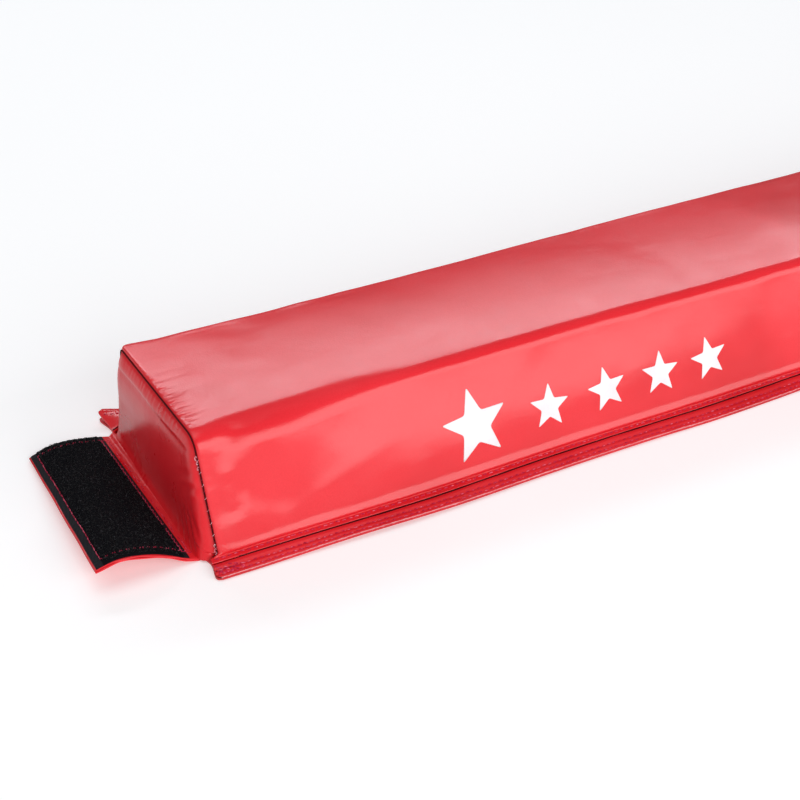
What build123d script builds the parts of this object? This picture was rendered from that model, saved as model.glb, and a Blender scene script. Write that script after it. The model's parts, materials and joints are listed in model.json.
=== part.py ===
from build123d import *
import os
from math import hypot

# Folding foam floor balance beam, two padded sections joined at a top hinge strip.
# Frame: +X along the beam, +Y across it, +Z up, floor at z = 0 (millimetres).
# Section A lies on the -X side of the fold and carries the loop-tape flap.
# Section B is its mirror image and carries the hook strip under its far end.
# The concealed zippers run along the -Y foot of both sections.

os.makedirs("parts", exist_ok=True)

# ---- driving dimensions -------------------------------------------------
SECTION_LEN = 1050.0      # seam plane of the end to the fold line
FLAP_REACH = 62.0         # seam plane to the flap's outer edge
BASE_OVER = 6.0           # base sheet beyond the seam plane, at the end
TOP_W = 100.0             # walking surface
FOOT_W = 133.0            # padded body at its foot
FLANGE_W = 170.0          # over both stitched flanges
HEIGHT = 65.0             # floor to walking surface
CLOTH = 0.8               # vinyl cloth
BASE_T = 1.0              # base sheet
EDGE_R = 12.0             # soft long edges of the top
FOLD_GAP = 1.0            # between the two fold panels

TOTAL = FLAP_REACH + 2 * SECTION_LEN + BASE_OVER
END_A = -TOTAL / 2 + FLAP_REACH          # seam plane of end A  (-1022)
FOLD_X = END_A + SECTION_LEN             # fold line            (  28)
END_B = FOLD_X + SECTION_LEN             # seam plane of end B  (1078)
X1 = FOLD_X - FOLD_GAP / 2               # last x of section A

# zipper
SLIT_Y = -74.3            # centre of the slit between the two lips
SLIT_W = 1.2
LIP_Z0, LIP_Z1 = 2.3, 3.1
COIL_W, COIL_T = 4.0, 1.2
SLIDER_X = FOLD_X - 39.0  # slider, closed position
SLIDER_L, SLIDER_W, SLIDER_T = 10.0, 7.0, 1.2
PULL_L, PULL_W, PULL_T = 22.0, 5.0, 1.1
PIVOT_Z = 5.3             # pull's crossbar

# hinge strip and hook strip
STRIP_LEN = 16.0          # on each side of the fold line
STRIP_HALF = 47.0
TAPE_W = 50.0             # hook and loop tape, standard width
HOOK_HALF = 60.0

# flap
PLY = 0.6
LOOP_T = 1.6
FLAP_Y = 64.5

slope = (FOOT_W - TOP_W) / 2 / (HEIGHT - BASE_T)


def section(grow, z0=BASE_T):
    """Rounded trapezoid of the padded body in (y, z), grown outwards by grow."""
    side = grow * hypot(1.0, slope)
    top = HEIGHT + grow

    def half(z):
        return TOP_W / 2 + slope * (HEIGHT - z) + side

    pts = [(-half(z0), z0), (half(z0), z0), (half(top), top), (-half(top), top)]
    face = make_face(Polyline(*pts, close=True))
    upper = face.vertices().sort_by(Axis.Y)[-2:]
    return fillet(upper, EDGE_R + grow)


def along_x(face, x0, x1):
    """Extrude a (y, z) face from x0 to x1."""
    return extrude(Plane.YZ.offset(x0) * face, amount=x1 - x0)


def poly_x(points, x0, x1):
    return along_x(make_face(Polyline(*points, close=True)), x0, x1)


def block(x0, x1, y0, y1, z0, z1):
    return Pos((x0 + x1) / 2, (y0 + y1) / 2, (z0 + z1) / 2) * Box(x1 - x0, y1 - y0, z1 - z0)


def wedge(x_foot, x_top):
    """Half space right of a plane that leans from x_foot at the base to x_top."""
    pts = [
        (x_foot, BASE_T),
        (END_A + 60, BASE_T),
        (END_A + 60, HEIGHT + 5),
        (x_top + (x_top - x_foot) * 5 / (HEIGHT - BASE_T), HEIGHT + 5),
    ]
    face = make_face(Polyline(*pts, close=True))
    body = extrude(Plane.XZ * face, amount=100, both=True)
    return body


def nose(grow, depth, inset):
    """The padded end beyond the seam plane: sides drawn in as it stands out."""
    near = Plane.YZ.offset(END_A) * section(grow)
    far = Plane.YZ.offset(END_A - depth) * section(grow - inset)
    return loft([far.face(), near.face()], ruled=True)


# ---- section A ----------------------------------------------------------
parts = {}
x_wrap = X1 - CLOTH       # the wrap stops at the fold panel

outer = section(0.0)
inner = section(-CLOTH)

nose_out = nose(0.0, 6.6, 6.0) & wedge(END_A - BASE_OVER + 0.4, END_A - CLOTH)
nose_in = nose(-CLOTH, 6.6, 6.0) & wedge(END_A - BASE_OVER + 0.4 + CLOTH, END_A + 0.05)
core = along_x(inner, END_A, x_wrap)
parts["foam_core_a"] = core + nose_in
parts["end_panel_a"] = nose_out - nose_in - core
parts["fold_panel_a"] = along_x(outer, x_wrap, X1)

# one cloth over the front wall, the top and the rear wall, with the rear
# flange on the base sheet and the front lip along the zipper
wrap = along_x(outer, END_A, x_wrap) - core
wrap += block(END_A, x_wrap, 66.0, FLANGE_W / 2, BASE_T, BASE_T + CLOTH)
wrap += block(END_A - 3.0, END_A + 0.5, 68.0, FLANGE_W / 2, BASE_T, BASE_T + CLOTH)
wrap += block(END_A, x_wrap, SLIT_Y + SLIT_W / 2, -65.6, LIP_Z0, LIP_Z1)
wrap += block(END_A - 3.0, END_A + 9.0, SLIT_Y - SLIT_W / 2, -68.0, LIP_Z0, LIP_Z1)
parts["cover_wrap_a"] = wrap

# base sheet with rounded corners at the end
base_pts = [
    (END_A - BASE_OVER, -62.0),
    (END_A - 3.5, -68.0),
    (END_A - 3.5, -FLANGE_W / 2),
    (X1, -FLANGE_W / 2),
    (X1, FLANGE_W / 2),
    (END_A - 3.5, FLANGE_W / 2),
    (END_A - 3.5, 68.0),
    (END_A - BASE_OVER, 62.0),
]
base_face = make_face(Polyline(*base_pts, close=True))
corners = [v for v in base_face.vertices() if v.X < END_A and abs(v.Y) > 80]
base_face = fillet(corners, 4.0)
base = extrude(base_face, amount=BASE_T)
parts["base_sheet_a"] = base

# front hem: the outer band of the flange, over the zipper's outer tape
hem_pts = [
    (SLIT_Y - SLIT_W / 2, LIP_Z0),
    (-77.0, LIP_Z0),
    (-78.8, 1.6),
    (-83.0, 1.6),
    (-83.0, BASE_T),
    (-85.0, BASE_T),
    (-85.0, 1.9),
    (-83.5, 2.5),
    (-79.1, 2.5),
    (-77.2, LIP_Z1),
    (SLIT_Y - SLIT_W / 2, LIP_Z1),
]
parts["front_hem_a"] = poly_x(list(reversed(hem_pts)), END_A - 3.0, X1)

coil_y0 = SLIT_Y - COIL_W / 2
coil_y1 = SLIT_Y + COIL_W / 2
parts["zipper_coil_a"] = block(END_A + 2.0, X1 - 0.5, coil_y0, coil_y1, BASE_T, BASE_T + COIL_T)
outer_tape = block(END_A + 2.0, X1 - 0.5, -83.0, coil_y0, BASE_T, 1.6)
inner_tape = block(END_A + 2.0, X1 - 0.5, coil_y1, -66.6, BASE_T, LIP_Z0)
parts["zipper_tapes_a"] = Compound(children=[outer_tape, inner_tape])
stop = [
    block(x, x + 3.0, SLIT_Y - 0.3, SLIT_Y + 0.3, BASE_T + COIL_T, 2.9)
    for x in (END_A + 10.0, SLIDER_X + 6.0)
]
parts["zipper_stops_a"] = Compound(children=stop)

# slider: plate above the lips, neck through the slit, bridge for the pull
plate_pts = [(-5.0, -2.2), (-3.5, -3.5), (2.0, -3.5), (5.0, -2.4), (5.0, 2.4), (2.0, 3.5), (-3.5, 3.5), (-5.0, 2.2)]
plate = extrude(make_face(Polyline(*plate_pts, close=True)), amount=SLIDER_T)
plate = Pos(0, 0, 3.2) * plate
neck = block(-2.5, 2.5, -0.4, 0.4, LIP_Z0, 3.3)
bridge = block(-4.0, 4.0, -1.1, 1.1, 3.2 + SLIDER_T - 0.2, 7.0)
bridge = fillet(bridge.edges().filter_by(Axis.Y).sort_by(Axis.Z)[-2:], 1.6)
bridge -= block(-2.6, 2.6, -2.0, 2.0, 3.2 + SLIDER_T, 6.25)
parts["zipper_slider_a"] = Pos(SLIDER_X, SLIT_Y, 0) * (plate + neck + bridge)

# pull: crossbar under the bridge, two arms and a pierced tab
pt = PULL_T / 2
bar = Pos(0, 0, PIVOT_Z) * (Rot(90, 0, 0) * Cylinder(0.55, PULL_W))
arms = block(-5.6, 0.0, 1.5, 2.5, PIVOT_Z - pt, PIVOT_Z + pt) + block(-5.6, 0.0, -2.5, -1.5, PIVOT_Z - pt, PIVOT_Z + pt)
tab = block(-PULL_L - 1.0, -4.8, -PULL_W / 2, PULL_W / 2, PIVOT_Z - pt, PIVOT_Z + pt)
tab = fillet(tab.edges().filter_by(Axis.Z).sort_by(Axis.X)[:2], 2.2)
tab -= Pos(-PULL_L + 2.4, 0, PIVOT_Z) * Cylinder(1.1, 4.0)
parts["zipper_pull_a"] = Pos(SLIDER_X, SLIT_Y, 0) * (bar + arms + tab)

# hinge strip, this section's half, laid over the top and its rounded edges
strip = along_x(section(CLOTH, 30.0), FOLD_X - STRIP_LEN, FOLD_X - 0.1)
strip -= along_x(section(0.0, 20.0), FOLD_X - STRIP_LEN - 5, FOLD_X + 5)
strip &= block(FOLD_X - STRIP_LEN - 1, FOLD_X, -STRIP_HALF, STRIP_HALF, 50.0, 80.0)
parts["hinge_strip_a"] = strip

# ---- section B: mirror image about the fold line -------------------------
for name in list(parts):
    other = name[:-1] + "b"
    halves = [mirror(solid, about=Plane.YZ.offset(FOLD_X)) for solid in parts[name].solids()]
    parts[other] = halves[0] if len(halves) == 1 else Compound(children=halves)

# hook strip let in flush under section B's far end
hx0, hx1 = END_B - 8.0 - TAPE_W, END_B - 8.0
window = block(hx0, hx1, -HOOK_HALF, HOOK_HALF, -1.0, BASE_T + 1.0)
parts["base_sheet_b"] = parts["base_sheet_b"] - window
parts["hook_strip_b"] = block(hx0, hx1, -HOOK_HALF, HOOK_HALF, 0.0, BASE_T)

# ---- flap: two plies and the loop tape, arched and lifted at the front ----
# (x from the seam plane, underside z) at the front and the rear edge
front_line = [(-7.4, 0.0), (-12.0, 1.5), (-16.0, 3.2), (-22.0, 6.7), (-29.0, 10.1), (-35.6, 12.2),
              (-42.0, 13.6), (-46.6, 14.2), (-51.0, 14.3), (-56.3, 13.4), (-62.0, 12.1)]
rear_line = [(-7.4, 0.0), (-11.5, 1.1), (-15.0, 1.9), (-19.5, 2.8), (-24.5, 3.5), (-30.0, 4.0),
             (-35.5, 4.1), (-40.0, 3.7), (-44.6, 2.9), (-49.0, 1.6), (-53.6, 0.1)]


def sheet(z_lift, thick, first, last, y_half):
    """A cloth layer between the front and rear lines, lifted by z_lift."""

    def outline(line, y):
        low = [(END_A + x, y, z + z_lift) for x, z in line[first:last]]
        high = [(END_A + x, y, z + z_lift + thick) for x, z in line[first:last]]
        return make_face(Polyline(*(low + high[::-1]), close=True))

    def at(y):
        k = (y + FLAP_Y) / (2 * FLAP_Y)
        return [(a[0] * (1 - k) + b[0] * k, a[1] * (1 - k) + b[1] * k) for a, b in zip(front_line, rear_line)]

    return loft([outline(at(-y_half), -y_half).face(), outline(at(y_half), y_half).face()], ruled=True)


parts["flap_lower_ply"] = sheet(0.0, PLY, 0, 11, FLAP_Y)
parts["flap_upper_ply"] = sheet(PLY, PLY, 0, 11, FLAP_Y)
parts["loop_tape"] = sheet(2 * PLY, LOOP_T, 1, 11, FLAP_Y - 1.0)

for name, shape in parts.items():
    shape.label = name
    export_step(shape, "parts/" + name + ".step")
    print(name, round(shape.volume, 1), len(shape.solids()))
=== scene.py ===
import bpy
import bmesh
import json
import math
import numpy as np
from mathutils import Matrix, Vector

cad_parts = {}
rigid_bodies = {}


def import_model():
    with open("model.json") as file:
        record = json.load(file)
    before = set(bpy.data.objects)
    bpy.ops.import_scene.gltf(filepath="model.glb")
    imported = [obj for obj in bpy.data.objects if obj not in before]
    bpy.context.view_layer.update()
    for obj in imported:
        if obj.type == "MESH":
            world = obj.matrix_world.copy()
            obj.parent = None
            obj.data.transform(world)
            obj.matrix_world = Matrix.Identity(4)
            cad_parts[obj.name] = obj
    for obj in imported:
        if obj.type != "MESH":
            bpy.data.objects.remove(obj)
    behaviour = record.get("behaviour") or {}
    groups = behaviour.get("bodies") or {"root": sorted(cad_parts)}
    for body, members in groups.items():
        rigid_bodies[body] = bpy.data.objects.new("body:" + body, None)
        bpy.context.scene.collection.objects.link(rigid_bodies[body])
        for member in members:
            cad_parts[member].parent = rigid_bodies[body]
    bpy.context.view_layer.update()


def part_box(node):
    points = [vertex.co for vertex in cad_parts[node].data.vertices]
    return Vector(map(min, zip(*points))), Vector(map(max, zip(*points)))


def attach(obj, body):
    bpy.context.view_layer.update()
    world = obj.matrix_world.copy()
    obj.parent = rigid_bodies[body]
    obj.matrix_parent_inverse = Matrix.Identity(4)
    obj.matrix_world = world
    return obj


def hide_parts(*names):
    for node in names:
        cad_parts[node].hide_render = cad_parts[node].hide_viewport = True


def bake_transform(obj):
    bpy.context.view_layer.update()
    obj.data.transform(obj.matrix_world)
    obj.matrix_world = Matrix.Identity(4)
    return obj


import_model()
MM = 1000.0

# ------------------------------------------------------------------ places, in mm, from the CAD nodes
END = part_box("end_panel_a")[1].x * MM             # seam plane of the end
FOLD = 28.0                                       # fold line; the next line sets it from both inner faces
FOLD = (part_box("fold_panel_a")[1].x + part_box("fold_panel_b")[0].x) / 2 * MM
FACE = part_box("fold_panel_a")[1].x * MM           # last x of section A
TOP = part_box("end_panel_a")[1].z * MM             # walking surface
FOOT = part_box("fold_panel_a")[1].y * MM           # half width of the padded body at its foot
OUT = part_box("base_sheet_a")[1].y * MM            # half width over the flanges
HALF_TOP = 50.0
EDGE_R = 12.0
LIP_Z = 3.1
SLIT_Y = (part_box("zipper_slider_a")[0].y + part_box("zipper_slider_a")[1].y) / 2 * MM
LIP_Y = SLIT_Y + 0.6                              # edge of the cover's lip beside the slit
NXW, NZW = 64.0 / math.hypot(64.0, FOOT - HALF_TOP), (FOOT - HALF_TOP) / math.hypot(64.0, FOOT - HALF_TOP)
FFOOT = FOOT + 3.3                                # front foot of the cloth, where it meets the seam
NXF, NZF = 62.0 / math.hypot(62.0, FFOOT - HALF_TOP), (FFOOT - HALF_TOP) / math.hypot(62.0, FFOOT - HALF_TOP)


def sstep(a, b, x):
    t = np.clip((np.asarray(x, float) - a) / (b - a), 0, 1)
    return t * t * (3 - 2 * t)


def waves(seed, scale, n=10, stretch=(1.0, 1.0)):
    """Smooth noise of about unit size, from n plane waves."""
    r = np.random.default_rng(seed)
    k = 2 * np.pi / scale * r.uniform(0.6, 1.5, n)
    th = r.uniform(0, 2 * np.pi, n)
    ph = r.uniform(0, 2 * np.pi, n)
    kx, ky = k * np.cos(th) * stretch[0], k * np.sin(th) * stretch[1]

    def f(a, b):
        a, b = np.broadcast_arrays(np.asarray(a, float), np.asarray(b, float))
        out = np.zeros(a.shape)
        for i in range(n):
            out += np.sin(kx[i] * a + ky[i] * b + ph[i])
        return out / math.sqrt(n / 2)

    return f


# ------------------------------------------------------------------ mesh helpers
def make(name, verts, faces, side="a", smooth=True):
    """A mesh object from mm coordinates of section A; side b is mirrored about the fold line."""
    v = np.array(verts, float)
    if side == "b":
        v[:, 0] = 2 * FOLD - v[:, 0]
        faces = [f[::-1] for f in faces]
    me = bpy.data.meshes.new(name)
    me.from_pydata((v / MM).tolist(), [], [tuple(int(i) for i in f) for f in faces])
    me.update()
    if smooth:
        me.polygons.foreach_set("use_smooth", [True] * len(me.polygons))
    ob = bpy.data.objects.new(name, me)
    bpy.context.scene.collection.objects.link(ob)
    return ob


def grid_faces(nu, nv, flip=False, base=0, close_v=False):
    i, j = np.meshgrid(np.arange(nu - 1), np.arange(nv if close_v else nv - 1), indexing="ij")
    i, j = i.ravel(), j.ravel()
    j2 = (j + 1) % nv
    q = np.stack([i * nv + j, (i + 1) * nv + j, (i + 1) * nv + j2, i * nv + j2], 1) + base
    if flip:
        q = q[:, ::-1]
    return q.tolist()


def grid(name, P, side="a", flip=False):
    return make(name, P.reshape(-1, 3), grid_faces(P.shape[0], P.shape[1], flip), side)


def grid_normals(P, flip=False):
    n = np.cross(np.gradient(P, axis=0), np.gradient(P, axis=1))
    n /= np.maximum(np.linalg.norm(n, axis=2, keepdims=True), 1e-9)
    return -n if flip else n


def shell(name, P, thick, side="a", flip=False):
    """A closed cloth of the given thickness under the grid P, which is its outer face, closed by flat rims."""
    nu, nv = P.shape[:2]
    n = grid_normals(P, flip)
    inner = P - n * thick
    verts = np.concatenate([P.reshape(-1, 3), inner.reshape(-1, 3)])
    m = nu * nv
    faces = grid_faces(nu, nv, flip) + grid_faces(nu, nv, not flip, base=m)
    rim = []
    rim += [(j, j + 1) for j in range(nv - 1)]
    rim += [(i * nv + nv - 1, (i + 1) * nv + nv - 1) for i in range(nu - 1)]
    rim += [((nu - 1) * nv + j + 1, (nu - 1) * nv + j) for j in range(nv - 2, -1, -1)]
    rim += [((i + 1) * nv, i * nv) for i in range(nu - 2, -1, -1)]
    for a, b in rim:
        f = (a, b, b + m, a + m)
        faces.append(f[::-1] if flip else f)
    ob = make(name, verts, faces, side)
    ob["rim_start"] = 2 * (nu - 1) * (nv - 1)
    return ob


def rim_material(ob, index=1, flat=True):
    start = int(ob["rim_start"])
    del ob["rim_start"]
    for p in list(ob.data.polygons)[start:]:
        p.material_index = index
        if flat:
            p.use_smooth = False


def modifier(ob, kind, **settings):
    m = ob.modifiers.new(kind.title(), kind)
    for k, v in settings.items():
        setattr(m, k, v)
    return m


def tube(points, radius, ring=6, base=0):
    """Vertices and faces of a round tube along points (mm)."""
    P = np.array(points, float)
    n = len(P)
    rad = np.broadcast_to(np.asarray(radius, float), (n,))
    T = np.gradient(P, axis=0)
    T /= np.maximum(np.linalg.norm(T, axis=1, keepdims=True), 1e-9)
    up = np.array([0.0, 0.0, 1.0]) if abs(T[0][2]) < 0.9 else np.array([0.0, 1.0, 0.0])
    a = np.cross(T, up)
    a /= np.maximum(np.linalg.norm(a, axis=1, keepdims=True), 1e-9)
    b = np.cross(T, a)
    ang = np.arange(ring) * 2 * np.pi / ring
    V = P[:, None] + rad[:, None, None] * (np.cos(ang)[None, :, None] * a[:, None] + np.sin(ang)[None, :, None] * b[:, None])
    faces = grid_faces(n, ring, base=base, close_v=True)
    faces.append([base + k for k in range(ring)])
    faces.append([base + (n - 1) * ring + k for k in range(ring - 1, -1, -1)])
    return V.reshape(-1, 3), faces


def tubes(name, lines, radius, side="a", ring=6):
    V, F, base = [], [], 0
    for k, l in enumerate(lines):
        v, f = tube(l, radius[k] if isinstance(radius, (list, tuple)) else radius, ring, base)
        V.append(v)
        F += f
        base += len(v)
    ob = make(name, np.concatenate(V), F, side)
    return outward(ob)


def outward(ob):
    bm = bmesh.new()
    bm.from_mesh(ob.data)
    bmesh.ops.recalc_face_normals(bm, faces=bm.faces)
    bm.to_mesh(ob.data)
    bm.free()
    return ob


def join(name, obs):
    """Joins the data of mesh objects of one material into one object."""
    V, F, base = [], [], 0
    for o in obs:
        co = np.zeros(len(o.data.vertices) * 3)
        o.data.vertices.foreach_get("co", co)
        V.append(co.reshape(-1, 3))
        F += [tuple(base + i for i in p.vertices) for p in o.data.polygons]
        base += len(o.data.vertices)
        me = o.data
        bpy.data.objects.remove(o)
        bpy.data.meshes.remove(me)
    return make(name, np.concatenate(V) * MM, F)


class Path:
    """A line on a surface f(a, b): points, normals and side directions by arc length."""

    def __init__(self, f, a, b, sign=1.0, eps=0.05):
        a, b = np.broadcast_arrays(np.asarray(a, float), np.asarray(b, float))
        P = f(a, b)
        N = np.cross(f(a + eps, b) - f(a - eps, b), f(a, b + eps) - f(a, b - eps)) * sign
        N /= np.maximum(np.linalg.norm(N, axis=1, keepdims=True), 1e-12)
        T = np.gradient(P, axis=0)
        T /= np.maximum(np.linalg.norm(T, axis=1, keepdims=True), 1e-12)
        S = np.cross(T, N)
        self.P, self.N, self.S = P, N, S
        self.s = np.concatenate([[0], np.cumsum(np.linalg.norm(np.diff(P, axis=0), axis=1))])
        self.length = float(self.s[-1])

    def at(self, s):
        out = []
        for A in (self.P, self.N, self.S):
            out.append(np.stack([np.interp(s, self.s, A[:, k]) for k in range(3)], 1))
        return out


def stitches(name, path, side="a", s0=0.0, s1=None, pitch=3.6, fill=0.78, rad=0.30, high=0.12, deep=0.55, seed=1, wander=0.15, slant=0.25, ring=6, steps=7, skip=0.0):
    """A sewn row: each stitch is a short thread that rises out of one hole and dives into the next."""
    r = np.random.default_rng(seed)
    s1 = path.length if s1 is None else s1
    n = max(1, int((s1 - s0) / pitch))
    start = s0 + (np.arange(n) + 0.11) * (s1 - s0) / n + r.normal(0, 0.10, n)
    keep = r.uniform(0, 1, n) >= skip
    start = start[keep]
    n = len(start)
    lens = pitch * (fill + r.normal(0, 0.03, n))
    t = np.linspace(0, 1, steps)
    s = start[:, None] + lens[:, None] * t[None]
    P, N, S = path.at(s.ravel())
    off = (r.normal(0, wander, n)[:, None] + (t[None] - 0.5) * (slant + r.normal(0, 0.10, n))[:, None]).ravel()
    lift = (high - (high + deep) * np.abs(2 * t - 1) ** 4)[None] + np.zeros((n, 1))
    P = P + N * lift.ravel()[:, None] + S * off[:, None]
    C = P.reshape(n, steps, 3)
    T = np.gradient(C, axis=1)
    T /= np.maximum(np.linalg.norm(T, axis=2, keepdims=True), 1e-9)
    A = np.cross(T, N.reshape(n, steps, 3))
    A /= np.maximum(np.linalg.norm(A, axis=2, keepdims=True), 1e-9)
    B = np.cross(A, T)
    ang = np.arange(ring) * 2 * np.pi / ring
    prof = rad * (0.75 + 0.25 * np.sin(np.pi * t))
    V = C[:, :, None] + prof[None, :, None, None] * (np.cos(ang)[None, None, :, None] * A[:, :, None] * 1.2 + np.sin(ang)[None, None, :, None] * B[:, :, None] * 0.9)
    one = np.array(grid_faces(steps, ring, close_v=True))
    per = steps * ring
    q = (one[None] + (np.arange(n) * per)[:, None, None]).reshape(-1, 4).tolist()
    for k in range(n):
        q.append([k * per + m for m in range(ring)])
        q.append([k * per + (steps - 1) * ring + m for m in range(ring - 1, -1, -1)])
    return outward(make(name, V.reshape(-1, 3), q, side))


# ------------------------------------------------------------------ materials
class Mat:
    """Small helper round a Principled material."""

    def __init__(self, name):
        self.m = bpy.data.materials.new(name)
        self.m.use_nodes = True
        self.t = self.m.node_tree
        self.b = next(n for n in self.t.nodes if n.type == "BSDF_PRINCIPLED")
        self.tc = self.n("ShaderNodeTexCoord")

    def n(self, kind, **props):
        node = self.t.nodes.new(kind)
        for k, v in props.items():
            setattr(node, k, v)
        return node

    def link(self, a, b):
        self.t.links.new(a, b)

    def coords(self, stretch=None, turn=None):
        if stretch is None and turn is None:
            return self.tc.outputs["Object"]
        mp = self.n("ShaderNodeMapping")
        if stretch is not None:
            mp.inputs["Scale"].default_value = stretch
        if turn is not None:
            mp.inputs["Rotation"].default_value = turn
        self.link(self.tc.outputs["Object"], mp.inputs["Vector"])
        return mp.outputs["Vector"]

    def noise(self, scale, detail=3.0, rough=0.5, stretch=None, dist=0.0):
        n = self.n("ShaderNodeTexNoise")
        n.inputs["Scale"].default_value = scale
        n.inputs["Detail"].default_value = detail
        n.inputs["Roughness"].default_value = rough
        n.inputs["Distortion"].default_value = dist
        self.link(self.coords(stretch), n.inputs["Vector"])
        return n.outputs["Fac"]

    def voronoi(self, scale, feature="F1", stretch=None, rand=1.0, out="Distance"):
        n = self.n("ShaderNodeTexVoronoi", feature=feature)
        n.inputs["Scale"].default_value = scale
        n.inputs["Randomness"].default_value = rand
        self.link(self.coords(stretch), n.inputs["Vector"])
        return n.outputs[out]

    def wave(self, scale, direction="X", dist=0.0, turn=None):
        n = self.n("ShaderNodeTexWave", bands_direction=direction)
        n.inputs["Scale"].default_value = scale
        n.inputs["Distortion"].default_value = dist
        n.inputs["Detail"].default_value = 1.0
        self.link(self.coords(turn=turn), n.inputs["Vector"])
        return n.outputs["Fac"]

    def ramp(self, fac, stops):
        r = self.n("ShaderNodeValToRGB")
        el = r.color_ramp.elements
        while len(el) < len(stops):
            el.new(0.5)
        for e, (p, c) in zip(el, stops):
            e.position = p
            e.color = (*c, 1)
        self.link(fac, r.inputs["Fac"])
        return r.outputs["Color"]

    def span(self, fac, a, b, lo=0.0, hi=1.0):
        r = self.n("ShaderNodeMapRange")
        r.inputs["From Min"].default_value = lo
        r.inputs["From Max"].default_value = hi
        r.inputs["To Min"].default_value = a
        r.inputs["To Max"].default_value = b
        self.link(fac, r.inputs["Value"])
        return r.outputs["Result"]

    def math(self, op, a, b=None):
        m = self.n("ShaderNodeMath", operation=op)
        for k, v in enumerate((a, b)):
            if v is None:
                continue
            if isinstance(v, (int, float)):
                m.inputs[k].default_value = v
            else:
                self.link(v, m.inputs[k])
        return m.outputs[0]

    def mix(self, fac, a, b):
        m = self.n("ShaderNodeMix", data_type="RGBA")
        for s, v in ((m.inputs[0], fac), (m.inputs[6], a), (m.inputs[7], b)):
            if isinstance(v, (int, float)):
                s.default_value = v
            elif isinstance(v, tuple):
                s.default_value = (*v, 1)
            else:
                self.link(v, s)
        return m.outputs[2]

    def bump(self, height, distance, strength=1.0, normal=None):
        b = self.n("ShaderNodeBump")
        b.inputs["Distance"].default_value = distance
        b.inputs["Strength"].default_value = strength
        self.link(height, b.inputs["Height"])
        if normal is not None:
            self.link(normal, b.inputs["Normal"])
        return b.outputs["Normal"]

    def set(self, **values):
        for k, v in values.items():
            s = self.b.inputs[k.replace("_", " ")]
            if hasattr(v, "is_linked"):
                self.link(v, s)
            else:
                s.default_value = v
        return self


def vinyl(name, base, dark, light, rough=(0.175, 0.21), grain=0.025, spec=0.5):
    """Faux-leather vinyl: fine pebble grain, faint mottling, uneven gloss."""
    m = Mat(name)
    broad = m.noise(11.0, 3.0, 0.55)
    mid = m.noise(85.0, 3.0, 0.6)
    c = m.ramp(broad, [(0.32, dark), (0.5, base), (0.70, light)])
    pebble = m.voronoi(1150.0)
    c = m.mix(m.span(pebble, 0.0, 0.22, 0.25, 0.8), c, dark)
    m.set(Base_Color=c)
    m.set(Roughness=m.math("ADD", m.span(broad, rough[0], rough[1], 0.3, 0.7), m.span(mid, -0.02, 0.02, 0.3, 0.7)))
    fine = m.noise(3400.0, 2.0, 0.6)
    soft = m.noise(260.0, 3.0, 0.55)
    n1 = m.bump(soft, 0.00007, 0.5)
    n2 = m.bump(m.span(pebble, 1.0, 0.0, 0.0, 0.8), grain / 1000.0, 1.0, n1)
    n3 = m.bump(fine, grain / 2200.0, 1.0, n2)
    m.set(Normal=n3, IOR=1.5)
    m.b.inputs["Specular IOR Level"].default_value = spec
    return m.m


def woven(name, base, dark, scale=1400.0, rough=0.75, depth=0.00012, spec=0.3):
    """Plain weave in object space: two crossed wave patterns."""
    m = Mat(name)
    w1, w2, w3 = m.wave(scale / 6.2, "X", 0.6), m.wave(scale / 6.2, "Y", 0.6), m.wave(scale / 6.2, "Z", 0.6)
    h = m.math("MAXIMUM", m.math("MULTIPLY", w1, w2), w3)
    n = m.noise(180.0, 3.0, 0.6)
    c = m.ramp(m.math("MULTIPLY", m.math("ADD", h, n), 0.5), [(0.2, dark), (0.6, base)])
    m.set(Base_Color=c, Roughness=m.span(n, rough - 0.08, rough + 0.08, 0.3, 0.7), Normal=m.bump(h, depth, 0.9))
    m.b.inputs["Specular IOR Level"].default_value = spec
    return m.m


def thread(name, base, light, dark):
    m = Mat(name)
    tw = m.noise(2600.0, 2.0, 0.5)
    var = m.noise(420.0, 2.0, 0.6)
    # the light stop is a painted glint, scattered over the thread by noise
    c = m.ramp(var, [(0.30, dark), (0.5, base), (0.66, light)])
    m.set(Base_Color=c, Roughness=m.span(tw, 0.42, 0.62, 0.3, 0.7), Normal=m.bump(tw, 0.00012, 0.8))
    m.set(Sheen_Weight=0.08, Sheen_Roughness=0.4)
    m.b.inputs["Specular IOR Level"].default_value = 0.25
    return m.m


RED = (0.80, 0.017, 0.027)
M_RED = vinyl("red_vinyl", RED, (0.70, 0.011, 0.018), (0.85, 0.024, 0.036))
M_PANEL = vinyl("red_vinyl_panel", (0.74, 0.014, 0.022), (0.64, 0.009, 0.015), (0.80, 0.020, 0.030), rough=(0.25, 0.31), grain=0.02, spec=0.30)
M_HEM = vinyl("red_vinyl_hem", (0.74, 0.014, 0.024), (0.64, 0.009, 0.015), (0.80, 0.020, 0.032), rough=(0.32, 0.44))
M_BASE = vinyl("base_vinyl", (0.62, 0.012, 0.020), (0.50, 0.008, 0.013), (0.68, 0.018, 0.028), rough=(0.40, 0.52), grain=0.16)
M_EDGE = woven("raw_edge", (0.84, 0.40, 0.43), (0.60, 0.06, 0.08), scale=5200.0, rough=0.8)
# painted shade: a near-black vinyl for the cords that stand in for the shade in the sunk seams and the slit
M_PAINTED_CREASE_SHADE = vinyl("deep_crease", (0.055, 0.001, 0.002), (0.03, 0.0006, 0.001), (0.08, 0.0015, 0.003), rough=(0.7, 0.8), spec=0.1)
# the second colour of each thread is its painted glint
M_THREAD = thread("pink_thread", (0.62, 0.010, 0.070), (0.88, 0.18, 0.27), (0.42, 0.005, 0.034))
M_PALE = thread("pale_thread", (0.80, 0.30, 0.36), (0.86, 0.55, 0.58), (0.62, 0.10, 0.14))
M_LOCK = thread("seam_thread", (0.30, 0.006, 0.020), (0.45, 0.02, 0.05), (0.14, 0.002, 0.006))


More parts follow.
